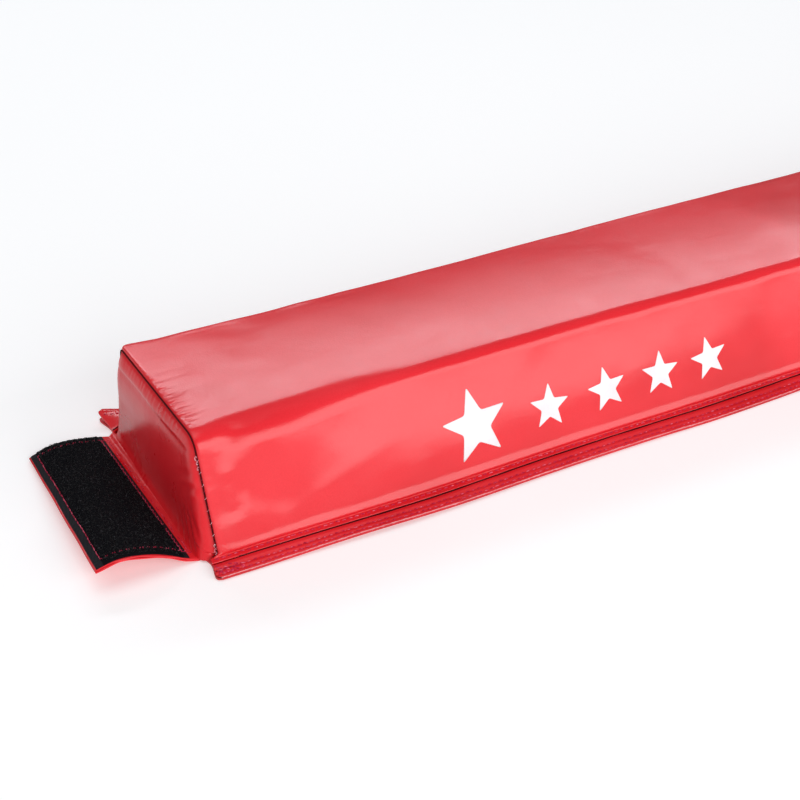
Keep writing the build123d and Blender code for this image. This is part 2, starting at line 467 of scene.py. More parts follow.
def pile_material():
    m = Mat("black_pile")
    spk = m.voronoi(1900.0)
    n = m.noise(700.0, 4.0, 0.7)
    c = m.ramp(m.math("ADD", m.math("MULTIPLY", spk, 0.5), m.math("MULTIPLY", n, 0.5)), [(0.25, (0.0018, 0.0018, 0.0022)), (0.6, (0.006, 0.006, 0.008))])
    m.set(Base_Color=c, Roughness=m.span(n, 0.72, 0.92, 0.3, 0.7))
    m.set(Normal=m.bump(m.noise(1500.0, 3.0, 0.7), 0.0006, 0.9))
    m.b.inputs["Specular IOR Level"].default_value = 0.05
    return m.m


def fibre_material():
    m = Mat("black_fibre")
    n = m.noise(900.0, 2.0, 0.5)
    c = m.ramp(n, [(0.35, (0.003, 0.003, 0.004)), (0.62, (0.008, 0.008, 0.010)), (0.74, (0.20, 0.20, 0.23))])
    m.set(Base_Color=c, Roughness=m.span(n, 0.35, 0.6, 0.3, 0.7))
    return m.m


M_PILE = pile_material()
M_FIBRE = fibre_material()
M_SELV = woven("tape_selvage", (0.012, 0.012, 0.016), (0.003, 0.003, 0.004), scale=4200.0, rough=0.62, depth=0.0001, spec=0.12)
M_ZTAPE = woven("zipper_tape", (0.60, 0.03, 0.045), (0.36, 0.012, 0.02), scale=5200.0)


def metal_material():
    m = Mat("nickel")
    n = m.noise(140.0, 4.0, 0.6)
    s = m.noise(900.0, 3.0, 0.6, stretch=(1.0, 9.0, 9.0))
    m.set(Base_Color=m.ramp(n, [(0.3, (0.50, 0.49, 0.47)), (0.7, (0.70, 0.69, 0.67))]), Metallic=1.0,
          Roughness=m.math("ADD", m.span(n, 0.20, 0.34, 0.3, 0.7), m.span(s, -0.04, 0.05, 0.3, 0.7)),
          Normal=m.bump(s, 0.00003, 0.7))
    return m.m


def plastic_material(name, base, dark, rough):
    m = Mat(name)
    n = m.noise(500.0, 3.0, 0.6)
    m.set(Base_Color=m.ramp(n, [(0.3, dark), (0.7, base)]), Roughness=m.span(n, rough - 0.06, rough + 0.06, 0.3, 0.7),
          Normal=m.bump(n, 0.00003, 0.6))
    return m.m


def foam_material():
    m = Mat("foam")
    v = m.voronoi(900.0)
    n = m.noise(60.0, 3.0, 0.6)
    m.set(Base_Color=m.ramp(n, [(0.3, (0.72, 0.66, 0.50)), (0.7, (0.82, 0.77, 0.62))]), Roughness=m.span(v, 0.82, 0.98, 0.0, 0.8),
          Normal=m.bump(v, 0.0005, 1.0))
    return m.m


def print_material():
    m = Mat("white_print")
    n = m.noise(60.0, 4.0, 0.6)
    v = m.voronoi(1150.0)
    c = m.ramp(n, [(0.3, (0.80, 0.78, 0.80)), (0.7, (0.90, 0.89, 0.91))])
    m.set(Base_Color=m.mix(m.span(v, 0.0, 0.12, 0.45, 0.8), c, (0.85, 0.62, 0.64)), Roughness=m.span(n, 0.34, 0.46, 0.3, 0.7),
          Normal=m.bump(m.span(v, 1.0, 0.0, 0.0, 0.8), 0.00004, 0.8))
    return m.m


M_METAL = metal_material()
M_COIL = plastic_material("coil_plastic", (0.55, 0.02, 0.03), (0.36, 0.01, 0.018), 0.38)
M_HOOK = plastic_material("hook_plastic", (0.012, 0.012, 0.014), (0.005, 0.005, 0.006), 0.45)
M_FOAM = foam_material()
M_PRINT = print_material()


def dress(ob, *mats):
    for m in mats:
        ob.data.materials.append(m)
    return ob


# ------------------------------------------------------------------ cross-section of the cover
def rounded(points, radii, step=0.12):
    """Dense polyline through 2-D points, with each inner corner rounded."""
    P = [np.array(p, float) for p in points]
    out = [P[0]]
    marks = []
    for k in range(1, len(P) - 1):
        a, b, c = P[k - 1], P[k], P[k + 1]
        u, w = (b - a) / np.linalg.norm(b - a), (c - b) / np.linalg.norm(c - b)
        turn = math.atan2(u[0] * w[1] - u[1] * w[0], u @ w)
        tl = radii[k] * math.tan(abs(turn) / 2)
        p0 = b - u * tl
        side = np.array([-u[1], u[0]]) * (1 if turn > 0 else -1)
        cen = p0 + side * radii[k]
        n = max(4, int(radii[k] * abs(turn) / step))
        seg = np.linspace(out[-1], p0, max(2, int(np.linalg.norm(p0 - out[-1]) / step)))[1:]
        out += list(seg)
        m0 = len(out) - 1
        for q in np.linspace(0, turn, n)[1:]:
            r = p0 - cen
            out.append(cen + np.array([r[0] * math.cos(q) - r[1] * math.sin(q), r[0] * math.sin(q) + r[1] * math.cos(q)]))
        marks.append((m0, len(out) - 1))
    out += list(np.linspace(out[-1], P[-1], max(2, int(np.linalg.norm(P[-1] - out[-1]) / step)))[1:])
    A = np.array(out)
    S = np.concatenate([[0], np.cumsum(np.linalg.norm(np.diff(A, axis=0), axis=1))])
    return A, S, [(S[a], S[b]) for a, b in marks]


def wall_y(z):
    return FOOT - (z - 1.0) * (FOOT - HALF_TOP) / 64.0


TOPZ = 65.0
FRONT_R, REAR_R, SOFT_R, CRISP_R = 10.5, 3.5, 16.0, 7.5
PROFILE, PS, MARKS = rounded(
    [(LIP_Y + 0.1, LIP_Z), (-FFOOT, LIP_Z), (-HALF_TOP, TOPZ), (HALF_TOP, TOPZ), (wall_y(1.8), 1.8), (OUT, 1.8)],
    [0, 0.9, FRONT_R, REAR_R, 1.6, 0])
TAN = np.gradient(PROFILE, axis=0)
TAN /= np.linalg.norm(TAN, axis=1, keepdims=True)
PN = np.stack([-TAN[:, 1], TAN[:, 0]], 1)
S_FOOT1 = sum(MARKS[0]) / 2
S_FOOT2 = sum(MARKS[3]) / 2
S_EDGE1, S_EDGE2 = MARKS[1][0], MARKS[1][1]
S_EDGE3, S_EDGE4 = MARKS[2][0], MARKS[2][1]
S_END = PS[-1]

# by the end the front edge is softer, and further on it is crisper: the same walk
# round a profile with another radius
def other_edge(radius):
    q, qs, qm = rounded(
        [(LIP_Y + 0.1, LIP_Z), (-FFOOT, LIP_Z), (-HALF_TOP, TOPZ), (HALF_TOP, TOPZ), (wall_y(1.8), 1.8), (OUT, 1.8)],
        [0, 0.9, radius, REAR_R, 1.6, 0])
    walk = np.interp(PS, [0, S_FOOT1, (S_EDGE1 + S_EDGE2) / 2, S_EDGE3, S_END], [0, sum(qm[0]) / 2, sum(qm[1]) / 2, qm[2][0], qs[-1]])
    return np.stack([np.interp(walk, qs, q[:, 0]), np.interp(walk, qs, q[:, 1])], 1)


SOFT, CRISP = other_edge(SOFT_R), other_edge(CRISP_R)


def flange_end(a):
    """x of the flange's end, from the seam plane, at distance a from the middle."""
    return np.interp(a, [60.0, 62.0, 64.0, 66.0, 68.0, 70.0, 73.0, 76.0, 79.0, 82.0, 83.6, 84.5, 85.0],
                     [-5.4, -5.2, -4.7, -4.1, -3.6, -3.2, -3.5, -4.2, -5.0, -5.6, -5.4, -4.4, -2.8])


def bow(x):
    """How far the front foot stands out, by distance from the end."""
    xr = np.asarray(x, float) - END
    w = waves(71, 190.0, 5)(xr, 0.0)
    return 3.0 * np.exp(-((xr - 115.0) / 75.0) ** 2) - 2.8 * sstep(285, 390, xr) * (1 - sstep(480, 700, xr)) + 0.45 * w * sstep(40, 160, xr) * sstep(0, 120, FACE - np.asarray(x))


def lift(x, a):
    """How far a flange stands off the floor at distance a from the middle."""
    xr = np.asarray(x, float) - END
    w = 0.5 + 0.5 * waves(72, 120.0, 5)(xr, 0.0)
    L = 1.7 * np.exp(-((xr - 95.0) / 55.0) ** 2) + 0.45 * np.clip(w, 0, 2) * sstep(0, 60, FACE - np.asarray(x))
    return L * np.clip((np.asarray(a) - FOOT) / (OUT - FOOT), 0, 1.2) ** 1.5


def make_puckers(seed, n=66):
    r = np.random.default_rng(seed)
    s = S_FOOT1 + (np.arange(n) + 0.5) * (S_FOOT2 - S_FOOT1) / n + r.normal(0, 0.7, n)
    a = r.uniform(0.35, 1.0, n)
    L = r.uniform(3.0, 6.5, n)
    w = r.uniform(0.85, 1.30, n)
    drift = r.normal(0.0, 0.10, n)
    return s, a, L, w, drift


PUCKERS = {("end", "a"): make_puckers(11), ("end", "b"): make_puckers(12), ("fold", "a"): make_puckers(13), ("fold", "b"): make_puckers(14)}


def pucker_zone(s):
    """Where along the seam the cloth gathers most: the top, from its middle to the front."""
    front_top = sstep(S_EDGE1 + 4, S_EDGE2, s) * (1 - sstep(S_EDGE2 + 50, S_EDGE3 - 6, s))
    wall = 0.28 * sstep(S_FOOT1, S_FOOT1 + 6, s) * (1 - sstep(S_EDGE1 - 4, S_EDGE1 + 6, s))
    back = 0.30 * sstep(S_EDGE2 + 40, S_EDGE3, s) * (1 - sstep(S_FOOT2 - 6, S_FOOT2, s))
    return np.clip(front_top + wall + back, 0, 1)


def puckers(key, s, d, reach=1.0):
    ps, pa, pl, pw, pd = PUCKERS[key]
    out = np.zeros(np.broadcast(s, d).shape)
    near = d < 34
    if not near.any():
        return out
    s, d = np.broadcast_arrays(s, d)
    ss, dd = s[near], d[near]
    acc = np.zeros(ss.shape)
    for k in range(len(ps)):
        acc -= pa[k] * np.exp(-((ss - ps[k] - pd[k] * dd) / (pw[k] * (1 + 0.05 * dd))) ** 2) * np.exp(-dd / (pl[k] * reach))
    out[near] = (acc + 0.35 * np.exp(-dd / (6.5 * reach))) * (1 - np.exp(-dd / 1.2))
    return out


SIM = {}


def sim_shift(side, x, s):
    """The simulated cloth's own displacement, read bilinearly from its grid."""
    if side not in SIM:
        return 0.0
    gx, gs, D = SIM[side]
    x, s = np.broadcast_arrays(np.asarray(x, float), np.asarray(s, float))
    i = np.clip(np.interp(x, gx, np.arange(len(gx))), 0, len(gx) - 1.001)
    j = np.clip(np.interp(s, gs, np.arange(len(gs))), 0, len(gs) - 1.001)
    i0, j0 = i.astype(int), j.astype(int)
    fi, fj = i - i0, j - j0
    return (D[i0, j0] * (1 - fi) * (1 - fj) + D[i0 + 1, j0] * fi * (1 - fj) + D[i0, j0 + 1] * (1 - fi) * fj + D[i0 + 1, j0 + 1] * fi * fj)


class Cover:
    """The cover's outer face: a point for every x and every arc position s across it."""

    def __init__(self, side):
        self.side = side
        k = 100 if side == "a" else 200
        self.fine = waves(k + 1, 26.0, 12, (0.75, 1.0))
        self.mid = waves(k + 2, 60.0, 10, (0.8, 1.0))
        self.long = waves(k + 3, 150.0, 8, (0.8, 1.4))

    def __call__(self, x, s):
        x, s = np.broadcast_arrays(np.asarray(x, float), np.asarray(s, float))
        d0, d1 = np.maximum(x - END, 0), np.maximum(FACE - x, 0)
        crisp = sstep(45.0, 135.0, d0) * sstep(0.5, 22.0, d1)
        soft = sstep(0.5, 22.0, d0) * (1 - sstep(45.0, 135.0, d0))
        y = np.interp(s, PS, PROFILE[:, 0]) * (1 - soft - crisp) + np.interp(s, PS, SOFT[:, 0]) * soft + np.interp(s, PS, CRISP[:, 0]) * crisp
        z = np.interp(s, PS, PROFILE[:, 1]) * (1 - soft - crisp) + np.interp(s, PS, SOFT[:, 1]) * soft + np.interp(s, PS, CRISP[:, 1]) * crisp
        # the front edge is drawn in a little beyond the end
        y = y + 3.2 * sstep(35.0, 110.0, d0) * (1 - 0.6 * sstep(230.0, 360.0, d0)) * sstep(18.0, 60.0, z) * sstep(5.0, 45.0, -y)
        ny, nz = np.interp(s, PS, PN[:, 0]), np.interp(s, PS, PN[:, 1])
        pad = sstep(S_FOOT1 - 0.5, S_FOOT1 + 1.7, s) * (1 - sstep(S_FOOT2 - 5, S_FOOT2 + 0.4, s))
        top = sstep(S_EDGE1 + 5, S_EDGE2 + 3, s) * (1 - sstep(S_EDGE3 - 3, S_EDGE4 - 5, s))
        front = (1 - sstep(S_EDGE1 - 2, S_EDGE2, s)) * pad
        D = -1.25 * np.exp(-d0 / 0.55) + 0.70 * (1 - np.exp(-d0 / 1.7)) * np.exp(-d0 / 38.0)
        D = D - 1.1 * np.exp(-d1 / 0.6) - 0.2 * np.exp(-d1 / 3.0)
        # the rear top corner stands proud by the end
        rear = sstep(S_EDGE2 + 30, S_EDGE3 - 2, s) * (1 - sstep(S_EDGE4 + 1, S_EDGE4 + 16, s))
        D = D + 1.5 * rear * np.exp(-d0 / 28.0) * (1 - np.exp(-d0 / 1.3))
        # the wall turns in a little before the seam
        D = D - 0.55 * front * np.exp(-((d0 - 5.0) / 4.5) ** 2)
        zone = pucker_zone(s)
        D = D + 0.78 * zone * puckers(("end", self.side), s, d0) + 0.55 * zone * puckers(("fold", self.side), s, d1)
        # crowned top, slightly full walls
        crown = (0.95 * np.clip(1 - ((y - 4.0) / 46.0) ** 2, 0, 1) - 0.25 * rear) * (1 - np.exp(-d0 / 30.0)) * (1 - np.exp(-d1 / 30.0))
        zz = np.clip((z - 1.0) / 64.0, 0, 1)
        full = 0.9 * 4 * zz * (1 - zz) * (1 - top) * (1 - np.exp(-d0 / 10.0)) * (1 - np.exp(-d1 / 10.0))
        D = D + crown + full
        # slack in the cloth: lively near the end, calm further on
        near = np.exp(-d0 / 55.0)
        calm = (1 - np.exp(-d0 / 5.0)) * (1 - np.exp(-d1 / 5.0))
        D = D + calm * (self.fine(x, s) * (0.03 + 0.16 * near) * (1 - 0.7 * top) + self.mid(x, s) * (0.06 + 0.34 * near * (0.25 + 0.75 * front)) * (1 - 0.6 * top) + self.long(x, s) * 0.14 * (1 - 0.6 * top))
        # a small roll of cloth stands just above the foot seam
        D = D + 1.0 * calm * np.exp(-((s - S_FOOT1 - 1.9) / 2.3) ** 2) * (0.55 + 0.45 * sstep(10, 60, d0))
        # folds in the front wall by the end: a full place low down, and a slant one further on
        D = D + front * 0.75 * np.exp(-((z - 17.0) / 7.5) ** 2) * np.exp(-((d0 - 20.0) / 17.0) ** 2)
        run = np.clip((d0 - 42.0) / 62.0, 0, 1)
        D = D + front * 0.5 * np.exp(-((z - (12.0 + 24.0 * run)) / 6.0) ** 2) * sstep(30, 55, d0) * (1 - sstep(90, 125, d0))
        D = D * pad
        D = D + sim_shift(self.side, x, s) * pad * (0.26 + 0.34 * near * front - 0.13 * top)
        y = y + ny * D
        z = z + nz * D
        # the front foot stands out, and the flanges leave the floor a little
        low = np.clip(1 - zz, 0, 1) ** 1.6
        share = 0.6 + 0.4 * sstep(FFOOT, FFOOT + 3.4, -y)
        y = y - bow(x) * share * low * (1 - sstep(-30, 30, y)) + 0.35 * bow(x) * low * sstep(-30, 30, y)
        flat = 1 - pad
        z = z + lift(x, np.abs(y)) * flat
        # the rear flange's end curls up
        curl = 5.0 * (1 - sstep(-4, 17, x - END)) * sstep(69.0, 86.0, y) * (s > S_FOOT2 - 6)
        z = z + curl
        x = x + flange_end(np.abs(np.interp(s, PS, PROFILE[:, 0]))) * (1 - pad) * (1 - sstep(0.0, 26.0, x - END))
        x = x + 0.2 * np.exp(-d0 / 2.0) * pad + 1.4 * (1 - zz) * np.exp(-d0 / 12.0) * pad * (1 - sstep(-20, 20, y))
        over = np.maximum(z - 65.6, 0.0)
        z = np.where(pad > 0.5, z - over + 0.55 * np.tanh(over / 0.55), z)
        return np.stack([x, y, z], -1)


COVERS = {"a": Cover("a"), "b": Cover("b")}


def spaced(a, b, first=0.34, growth=0.05, biggest=6.0):
    """Positions from a to b, close together at both ends."""
    def from_end(n):
        out, d = [0.0], 0.0
        while d < n:
            d += min(first + growth * d, biggest)
            out.append(d)
        return np.array(out)
    half = (b - a) / 2
    L = from_end(half)
    L = L * half / L[-1]
    return np.concatenate([a + L, (b - L[::-1])[1:]])


XS = spaced(END, FACE)
SS = np.concatenate([np.linspace(0, S_FOOT1 - 1.2, 6), np.linspace(S_FOOT1 - 0.8, S_FOOT1 + 1.6, 9),
                     np.arange(S_FOOT1 + 2.3, S_FOOT2 - 2.0, 1.0), np.linspace(S_FOOT2 - 1.6, S_FOOT2 + 1.2, 9),
                     np.linspace(S_FOOT2 + 2.2, S_END, 13)])

# ------------------------------------------------------------------ cloth simulation of the cover's slack
SLACK = {"a": -0.004, "b": -0.0045}


def simulate(side):
    """Lets the cover settle as cloth, sewn down along its seams and feet, and keeps what moved."""
    f = COVERS[side]
    gx = np.linspace(END, FACE, 151)
    gs = np.linspace(S_FOOT1, S_FOOT2, 44)
    P = f(gx[:, None], gs[None, :])
    nb = 10
    bottom = np.stack([np.broadcast_to(gx[:, None], (len(gx), nb)), np.broadcast_to(np.linspace(FOOT - 4, -FOOT + 4, nb)[None], (len(gx), nb)), np.full((len(gx), nb), 0.9)], -1)
    A = np.concatenate([P, bottom], 1)
    nu, nv = A.shape[:2]
    faces = grid_faces(nu, nv, close_v=True)
    faces.append(list(range(nv)))
    faces.append([(nu - 1) * nv + k for k in range(nv - 1, -1, -1)])
    ob = outward(make("slack", A.reshape(-1, 3), faces))
    pins = [i * nv + j for i in range(nu) for j in range(nv) if i in (0, nu - 1) or j in (0,) or j >= len(gs) - 1]
    ob.vertex_groups.new(name="sewn").add(pins, 1.0, "REPLACE")
    cl = ob.modifiers.new("Slack", "CLOTH")
    c = cl.settings
    c.quality = 6
    c.mass = 0.25
    c.tension_stiffness = c.compression_stiffness = 40.0
    c.shear_stiffness = 20.0
    c.bending_stiffness = 1.2
    c.air_damping = 2.0
    c.vertex_group_mass = "sewn"
    c.shrink_min = SLACK[side]
    c.use_pressure = True
    c.uniform_pressure_force = 1.2
    c.effector_weights.gravity = 0.0
    cl.collision_settings.use_collision = False
    cl.collision_settings.use_self_collision = False
    cl.point_cache.frame_start, cl.point_cache.frame_end = 1, 22
    scene = bpy.context.scene
    for fr in range(1, 23):
        scene.frame_set(fr)
    deps = bpy.context.evaluated_depsgraph_get()
    em = ob.evaluated_get(deps).to_mesh()
    v = np.zeros(len(em.vertices) * 3)
    em.vertices.foreach_get("co", v)
    ob.evaluated_get(deps).to_mesh_clear()
    Q = v.reshape(nu, nv, 3)[:, :len(gs)] * MM
    N = grid_normals(P)
    D = ((Q - P) * N).sum(-1)
    bpy.data.objects.remove(ob)
    scene.frame_set(1)
    print("cloth", side, "moved", float(D.min()), float(D.max()), "spread", float((D - D.mean(0)[None]).std()))
    # the foam holds the mean shape; the folds and dips stay, up to a millimetre
    D = D - 0.85 * D.mean(0)[None]
    D = 1.0 * np.tanh(D / 1.0)
    D[0], D[-1], D[:, 0], D[:, -1] = 0, 0, 0, 0
    SIM[side] = (gx, gs, D)


for side in "ab":
    simulate(side)


# ------------------------------------------------------------------ padded cover, end panels, foam


def cover_wrap(side):
    f = COVERS[side]
    P = f(XS[:, None], SS[None, :])
    ob = grid("cover_" + side, P, side)
    dress(ob, M_RED)
    modifier(ob, "SOLIDIFY", thickness=0.0008, offset=-1.0, use_even_offset=False)
    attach(ob, "section_" + side)
    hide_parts("cover_wrap_" + side)
    return ob


def inset(y, z):
    """Distance inwards from the walls and the top of the nominal section."""
    nx, nz = np.where(y < 0, NXF, NXW), np.where(y < 0, NZF, NZW)
    a = -((np.abs(y) - HALF_TOP) * nx + (z - TOPZ) * nz)
    b = TOPZ - z
    er = np.where(y < 0, FRONT_R, REAR_R)
    cz = TOPZ - er
    cy = HALF_TOP - (er - er * nz) / nx
    wy, wz = np.abs(y) - cy, z - cz
    ang = np.arctan2(wz, wy)
    wedge = (ang > np.arctan2(nz, nx)) & (ang < math.pi / 2)
    return np.where(wedge, er - np.hypot(wy, wz), np.minimum(a, b)), a, b


def end_panel(side, which):
    """The sewn-in end of a section: the outer end panel, or the flat one at the fold."""
    f = COVERS[side]
    plane = END if which == "end" else FACE
    out = -1.0 if which == "end" else 1.0
    s = np.arange(S_FOOT1 + 0.2, S_FOOT2 - 0.1, 0.8)
    rim = f(np.full_like(s, plane), s)
    foot_y = np.arange(rim[-1, 1] - 0.7, rim[0, 1] + 0.3, -1.1)
    foot = np.stack([np.full_like(foot_y, plane), foot_y, np.full_like(foot_y, 0.9)], 1)
    tail = np.array([[plane, rim[-1, 1] + 0.1, 1.9], [plane, rim[-1, 1] - 0.1, 0.9]])
    head = np.array([[plane, rim[0, 1] + 0.1, 0.9], [plane, rim[0, 1] - 0.1, 2.1]])
    O = np.concatenate([rim, tail, foot, head])
    sO = np.concatenate([s, np.full(len(tail) + len(foot) + len(head), -99.0)])
    n = len(O)
    K = 40
    r = (np.arange(K + 1) / K) ** 1.55
    C = np.stack([np.full(n, plane), np.round(np.clip(O[:, 1], -30, 30) / 2.0) * 2.0, np.full(n, 28.0)], 1)
    P = O[:, None] * (1 - r)[None, :, None] + C[:, None] * r[None, :, None]
    y, z = P[..., 1], P[..., 2]
    ins, to_wall, below = inset(y, z)
    ins = np.maximum(ins - 1.25, 0)
    sgrid = np.broadcast_to(sO[:, None], y.shape)
    fr = np.clip(0.5 - y / 133.0, 0, 1)
    zz = np.clip(z / 65.0, 0, 1)
    if which == "end":
        zs = [0.0, 2.5, 5.0, 15.0, 24.0, 33.0, 40.0, 46.0, 51.0, 55.5, 59.5, 62.5, 65.0]
        rear_b = [5.9, 4.6, 2.9, 2.5, 2.5, 2.8, 3.5, 4.0, 4.1, 3.4, 2.3, 1.3, 0.5]
        front_b = [7.9, 7.6, 7.1, 6.0, 5.2, 4.6, 4.2, 3.9, 3.5, 2.7, 1.8, 1.1, 0.5]
        smooth_z = np.linspace(0, 65, 261)
        ker = np.exp(-(np.arange(-14, 15) / 6.0) ** 2)
        ker /= ker.sum()
        curves = []
        for c in (rear_b, front_b):
            q = np.interp(smooth_z, zs, c)
            curves.append(np.convolve(np.pad(q, 14, mode="edge"), ker, mode="valid"))
        fb = fr ** 1.2
        B = np.interp(z, smooth_z, curves[0]) * (1 - fb) + np.interp(z, smooth_z, curves[1]) * fb
        side_in = np.maximum(to_wall - 1.25, 0)
        t = np.clip(side_in / 8.0, 0, 1)
        roll = 0.18 * (1 - np.exp(-(side_in / 1.2) ** 1.1)) + 0.82 * np.sqrt(1 - (1 - t) ** 2)
        B = B * roll * (1 - np.exp(-ins / 0.7)) - 1.0 * np.exp(-ins / 0.55)
        # the seam allowance shows as a ledge under the top seam
        step = sstep(8.0, 9.6, below + 0.35 * np.sin(y / 9.0)) * (1 - sstep(9.6, 26.0, below))
        B = B + 0.55 * (np.exp(-((below - 6.6) / 2.6) ** 2) - 0.75 * step) * sstep(-50, -40, y) * (1 - sstep(40, 47, y) * 0.5)
        zone = pucker_zone(sgrid) * (sgrid > 0)
        B = B + 0.75 * zone * puckers(("end", side), sgrid, ins, reach=0.75)
        seed = 31 if side == "a" else 41
        B = B + waves(seed, 34.0, 10)(y, z) * 0.06 * (1 - np.exp(-ins / 6)) + waves(seed + 1, 75.0, 8)(y, z) * 0.16 * (1 - np.exp(-ins / 8))
        # diagonal creases by the lower front corner
        q = (y + 66.0) * 0.62 + (z - 4.0) * 0.78
        p = (y + 66.0) * 0.78 - (z - 4.0) * 0.62
        B = B + 0.55 * np.exp(-((q - 13.0) / 9.0) ** 2) * np.exp(-((p - 7.0) / 14.0) ** 2) * np.sin(p * 2 * np.pi / 6.8) * (1 - np.exp(-ins / 2.5))
        B = B + 0.30 * np.exp(-((y + 48.0) / 12.0) ** 2) * np.exp(-((z - 36.0) / 9.0) ** 2) * np.sin((y * 0.5 + z * 0.9) * 2 * np.pi / 8.5)
    else:
        seed = 51 if side == "a" else 61
        B = -1.1 * np.exp(-ins / 1.1) - 0.45 * np.exp(-ins / 3.5) + 0.12 * waves(seed, 45.0, 8)(y, z) * (1 - np.exp(-ins / 6))
        B = B + 0.35 * pucker_zone(sgrid) * (sgrid > 0) * puckers(("fold", side), sgrid, ins, reach=0.6) + 0.05
        B = np.minimum(B, 0.30)
    at_rim = np.exp(-ins / 0.5) * (sgrid > 0)
    x = plane + out * B
    k = np.zeros(K + 1)
    k[0] = 1.0
    xr = np.broadcast_to(O[:, 0][:, None], x.shape)
    w = np.clip(1 - np.arange(K + 1) / 3.0, 0, 1)[None, :] * (sgrid > 0)
    x = x * (1 - w) + xr * w
    P[..., 0] = x
    closed = np.concatenate([P, P[:1]], 0)
    ob = grid(which + "_cloth_" + side, closed, side)
    bm = bmesh.new()
    bm.from_mesh(ob.data)
    bmesh.ops.remove_doubles(bm, verts=bm.verts, dist=1e-6)
    bm.normal_update()
    bm.to_mesh(ob.data)
    bm.free()
    nx = sum(p.normal.x * p.area for p in ob.data.polygons)
    want = (-1 if side == "a" else 1) * (1 if which == "end" else -1)
    if nx * want < 0:
        bm = bmesh.new()
        bm.from_mesh(ob.data)
        bmesh.ops.reverse_faces(bm, faces=bm.faces)
        bm.to_mesh(ob.data)
        bm.free()
    dress(ob, M_PANEL)
    modifier(ob, "SOLIDIFY", thickness=0.0008, offset=-1.0, use_even_offset=False)
    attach(ob, "section_" + side)
    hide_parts(("end_panel_" if which == "end" else "fold_panel_") + side)
    return ob


def foam(side):
    m = 3.4
    pts, S, _ = rounded([(0.0, 1.2), (-FOOT + m, 1.2), (-HALF_TOP + m, TOPZ - m), (HALF_TOP - m, TOPZ - m), (FOOT - m, 1.2), (0.001, 1.2)], [0, 1.5, 21.0, 8.0, 1.5, 0], 1.5)
    s = np.linspace(0, S[-1], 140)[:-1]
    y, z = np.interp(s, S, pts[:, 0]), np.interp(s, S, pts[:, 1])
    xs = np.concatenate([[END + 2.0], np.linspace(END + 2.6, FACE - 2.6, 90), [FACE - 2.0]])
    tuck = np.where((np.arange(len(xs)) == 0) | (np.arange(len(xs)) == len(xs) - 1), 0.9, 0.0)
    P = np.zeros((len(xs), len(s), 3))
    P[..., 0] = xs[:, None]
    cy, cz = 0.0, 32.0
    P[..., 1] = y[None] * (1 - tuck[:, None] / 60.0)
    P[..., 2] = cz + (z[None] - cz) * (1 - tuck[:, None] / 34.0)
    nv = len(s)
    faces = grid_faces(len(xs), nv, close_v=True)
    faces.append(list(range(nv)))
    faces.append([(len(xs) - 1) * nv + k for k in range(nv - 1, -1, -1)])
    ob = outward(make("foam_" + side, P.reshape(-1, 3), faces, side))
    dress(ob, M_FOAM)
    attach(ob, "section_" + side)
    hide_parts("foam_core_" + side)
    return ob


# ------------------------------------------------------------------ flanges and underside
def base_ply(side):
    ys = np.concatenate([np.linspace(-OUT, -FOOT - 1, 16), np.linspace(-FOOT, FOOT, 62), np.linspace(FOOT + 1, OUT, 16)])
    xs = spaced(END, FACE - 0.1, 0.6, 0.05, 7.0)
    X, Y = np.meshgrid(xs, ys, indexing="ij")
    a = np.abs(Y)
    Z = 0.95 + lift(X, a)
    fl = sstep(FOOT - 2, FOOT + 2, a)
    endx = np.where(a < 62, -5.4, flange_end(a))
    wx = 1 - sstep(0.0, 26.0, X - END)
    Xn = X + endx * wx
    b = bow(X)
    Yn = Y + np.where(Y < 0, -b, 0.35 * b) * fl
    P = np.stack([Xn, Yn, Z], -1)
    # underside meets the floor
    n = P.copy()
    n[..., 2] -= 0.95
    nu, nv = P.shape[:2]
    verts = np.concatenate([P.reshape(-1, 3), n.reshape(-1, 3)])
    m = nu * nv
    faces = grid_faces(nu, nv) + grid_faces(nu, nv, True, base=m)
    rims = [(j, j + 1) for j in range(nv - 1)] + [(i * nv + nv - 1, (i + 1) * nv + nv - 1) for i in range(nu - 1)]
    rims += [((nu - 1) * nv + j + 1, (nu - 1) * nv + j) for j in range(nv - 2, -1, -1)] + [((i + 1) * nv, i * nv) for i in range(nu - 2, -1, -1)]
    start = len(faces)
    faces += [(p, q, q + m, p + m) for p, q in rims]
    ob = make("base_ply_" + side, verts, faces, side)
    for p in list(ob.data.polygons)[start:]:
        p.use_smooth = False
        p.material_index = 1 if p.center.y * MM > OUT - 3 else 0
    ob = outward(ob)
    dress(ob, M_BASE, M_EDGE)
    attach(ob, "section_" + side)
    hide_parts("base_sheet_" + side)
    return ob


HEM_Y = SLIT_Y - 0.15
LINES = (-79.1, -82.8)


def hem_top(x, y, dimple=True, seed=0):
    """Height of the folded hem's top face."""
    z = 3.05 - 0.60 * sstep(-77.0, -79.6, y)
    for k, ly in enumerate(LINES):
        z = z - 0.38 * np.exp(-((y - ly) / 0.75) ** 2)
        if dimple:
            z = z - 0.14 * np.exp(-((y - ly) / 1.1) ** 2) * np.cos((x - END) * 2 * np.pi / 3.6 + k)
    z = z + 0.22 * np.exp(-((y - (LINES[0] + LINES[1]) / 2) / 1.3) ** 2) + 0.12 * np.exp(-((y - SLIT_Y + 2.5) / 1.2) ** 2)
    z = z - 0.45 * sstep(LINES[1] - 0.6, -OUT, y)
    return z


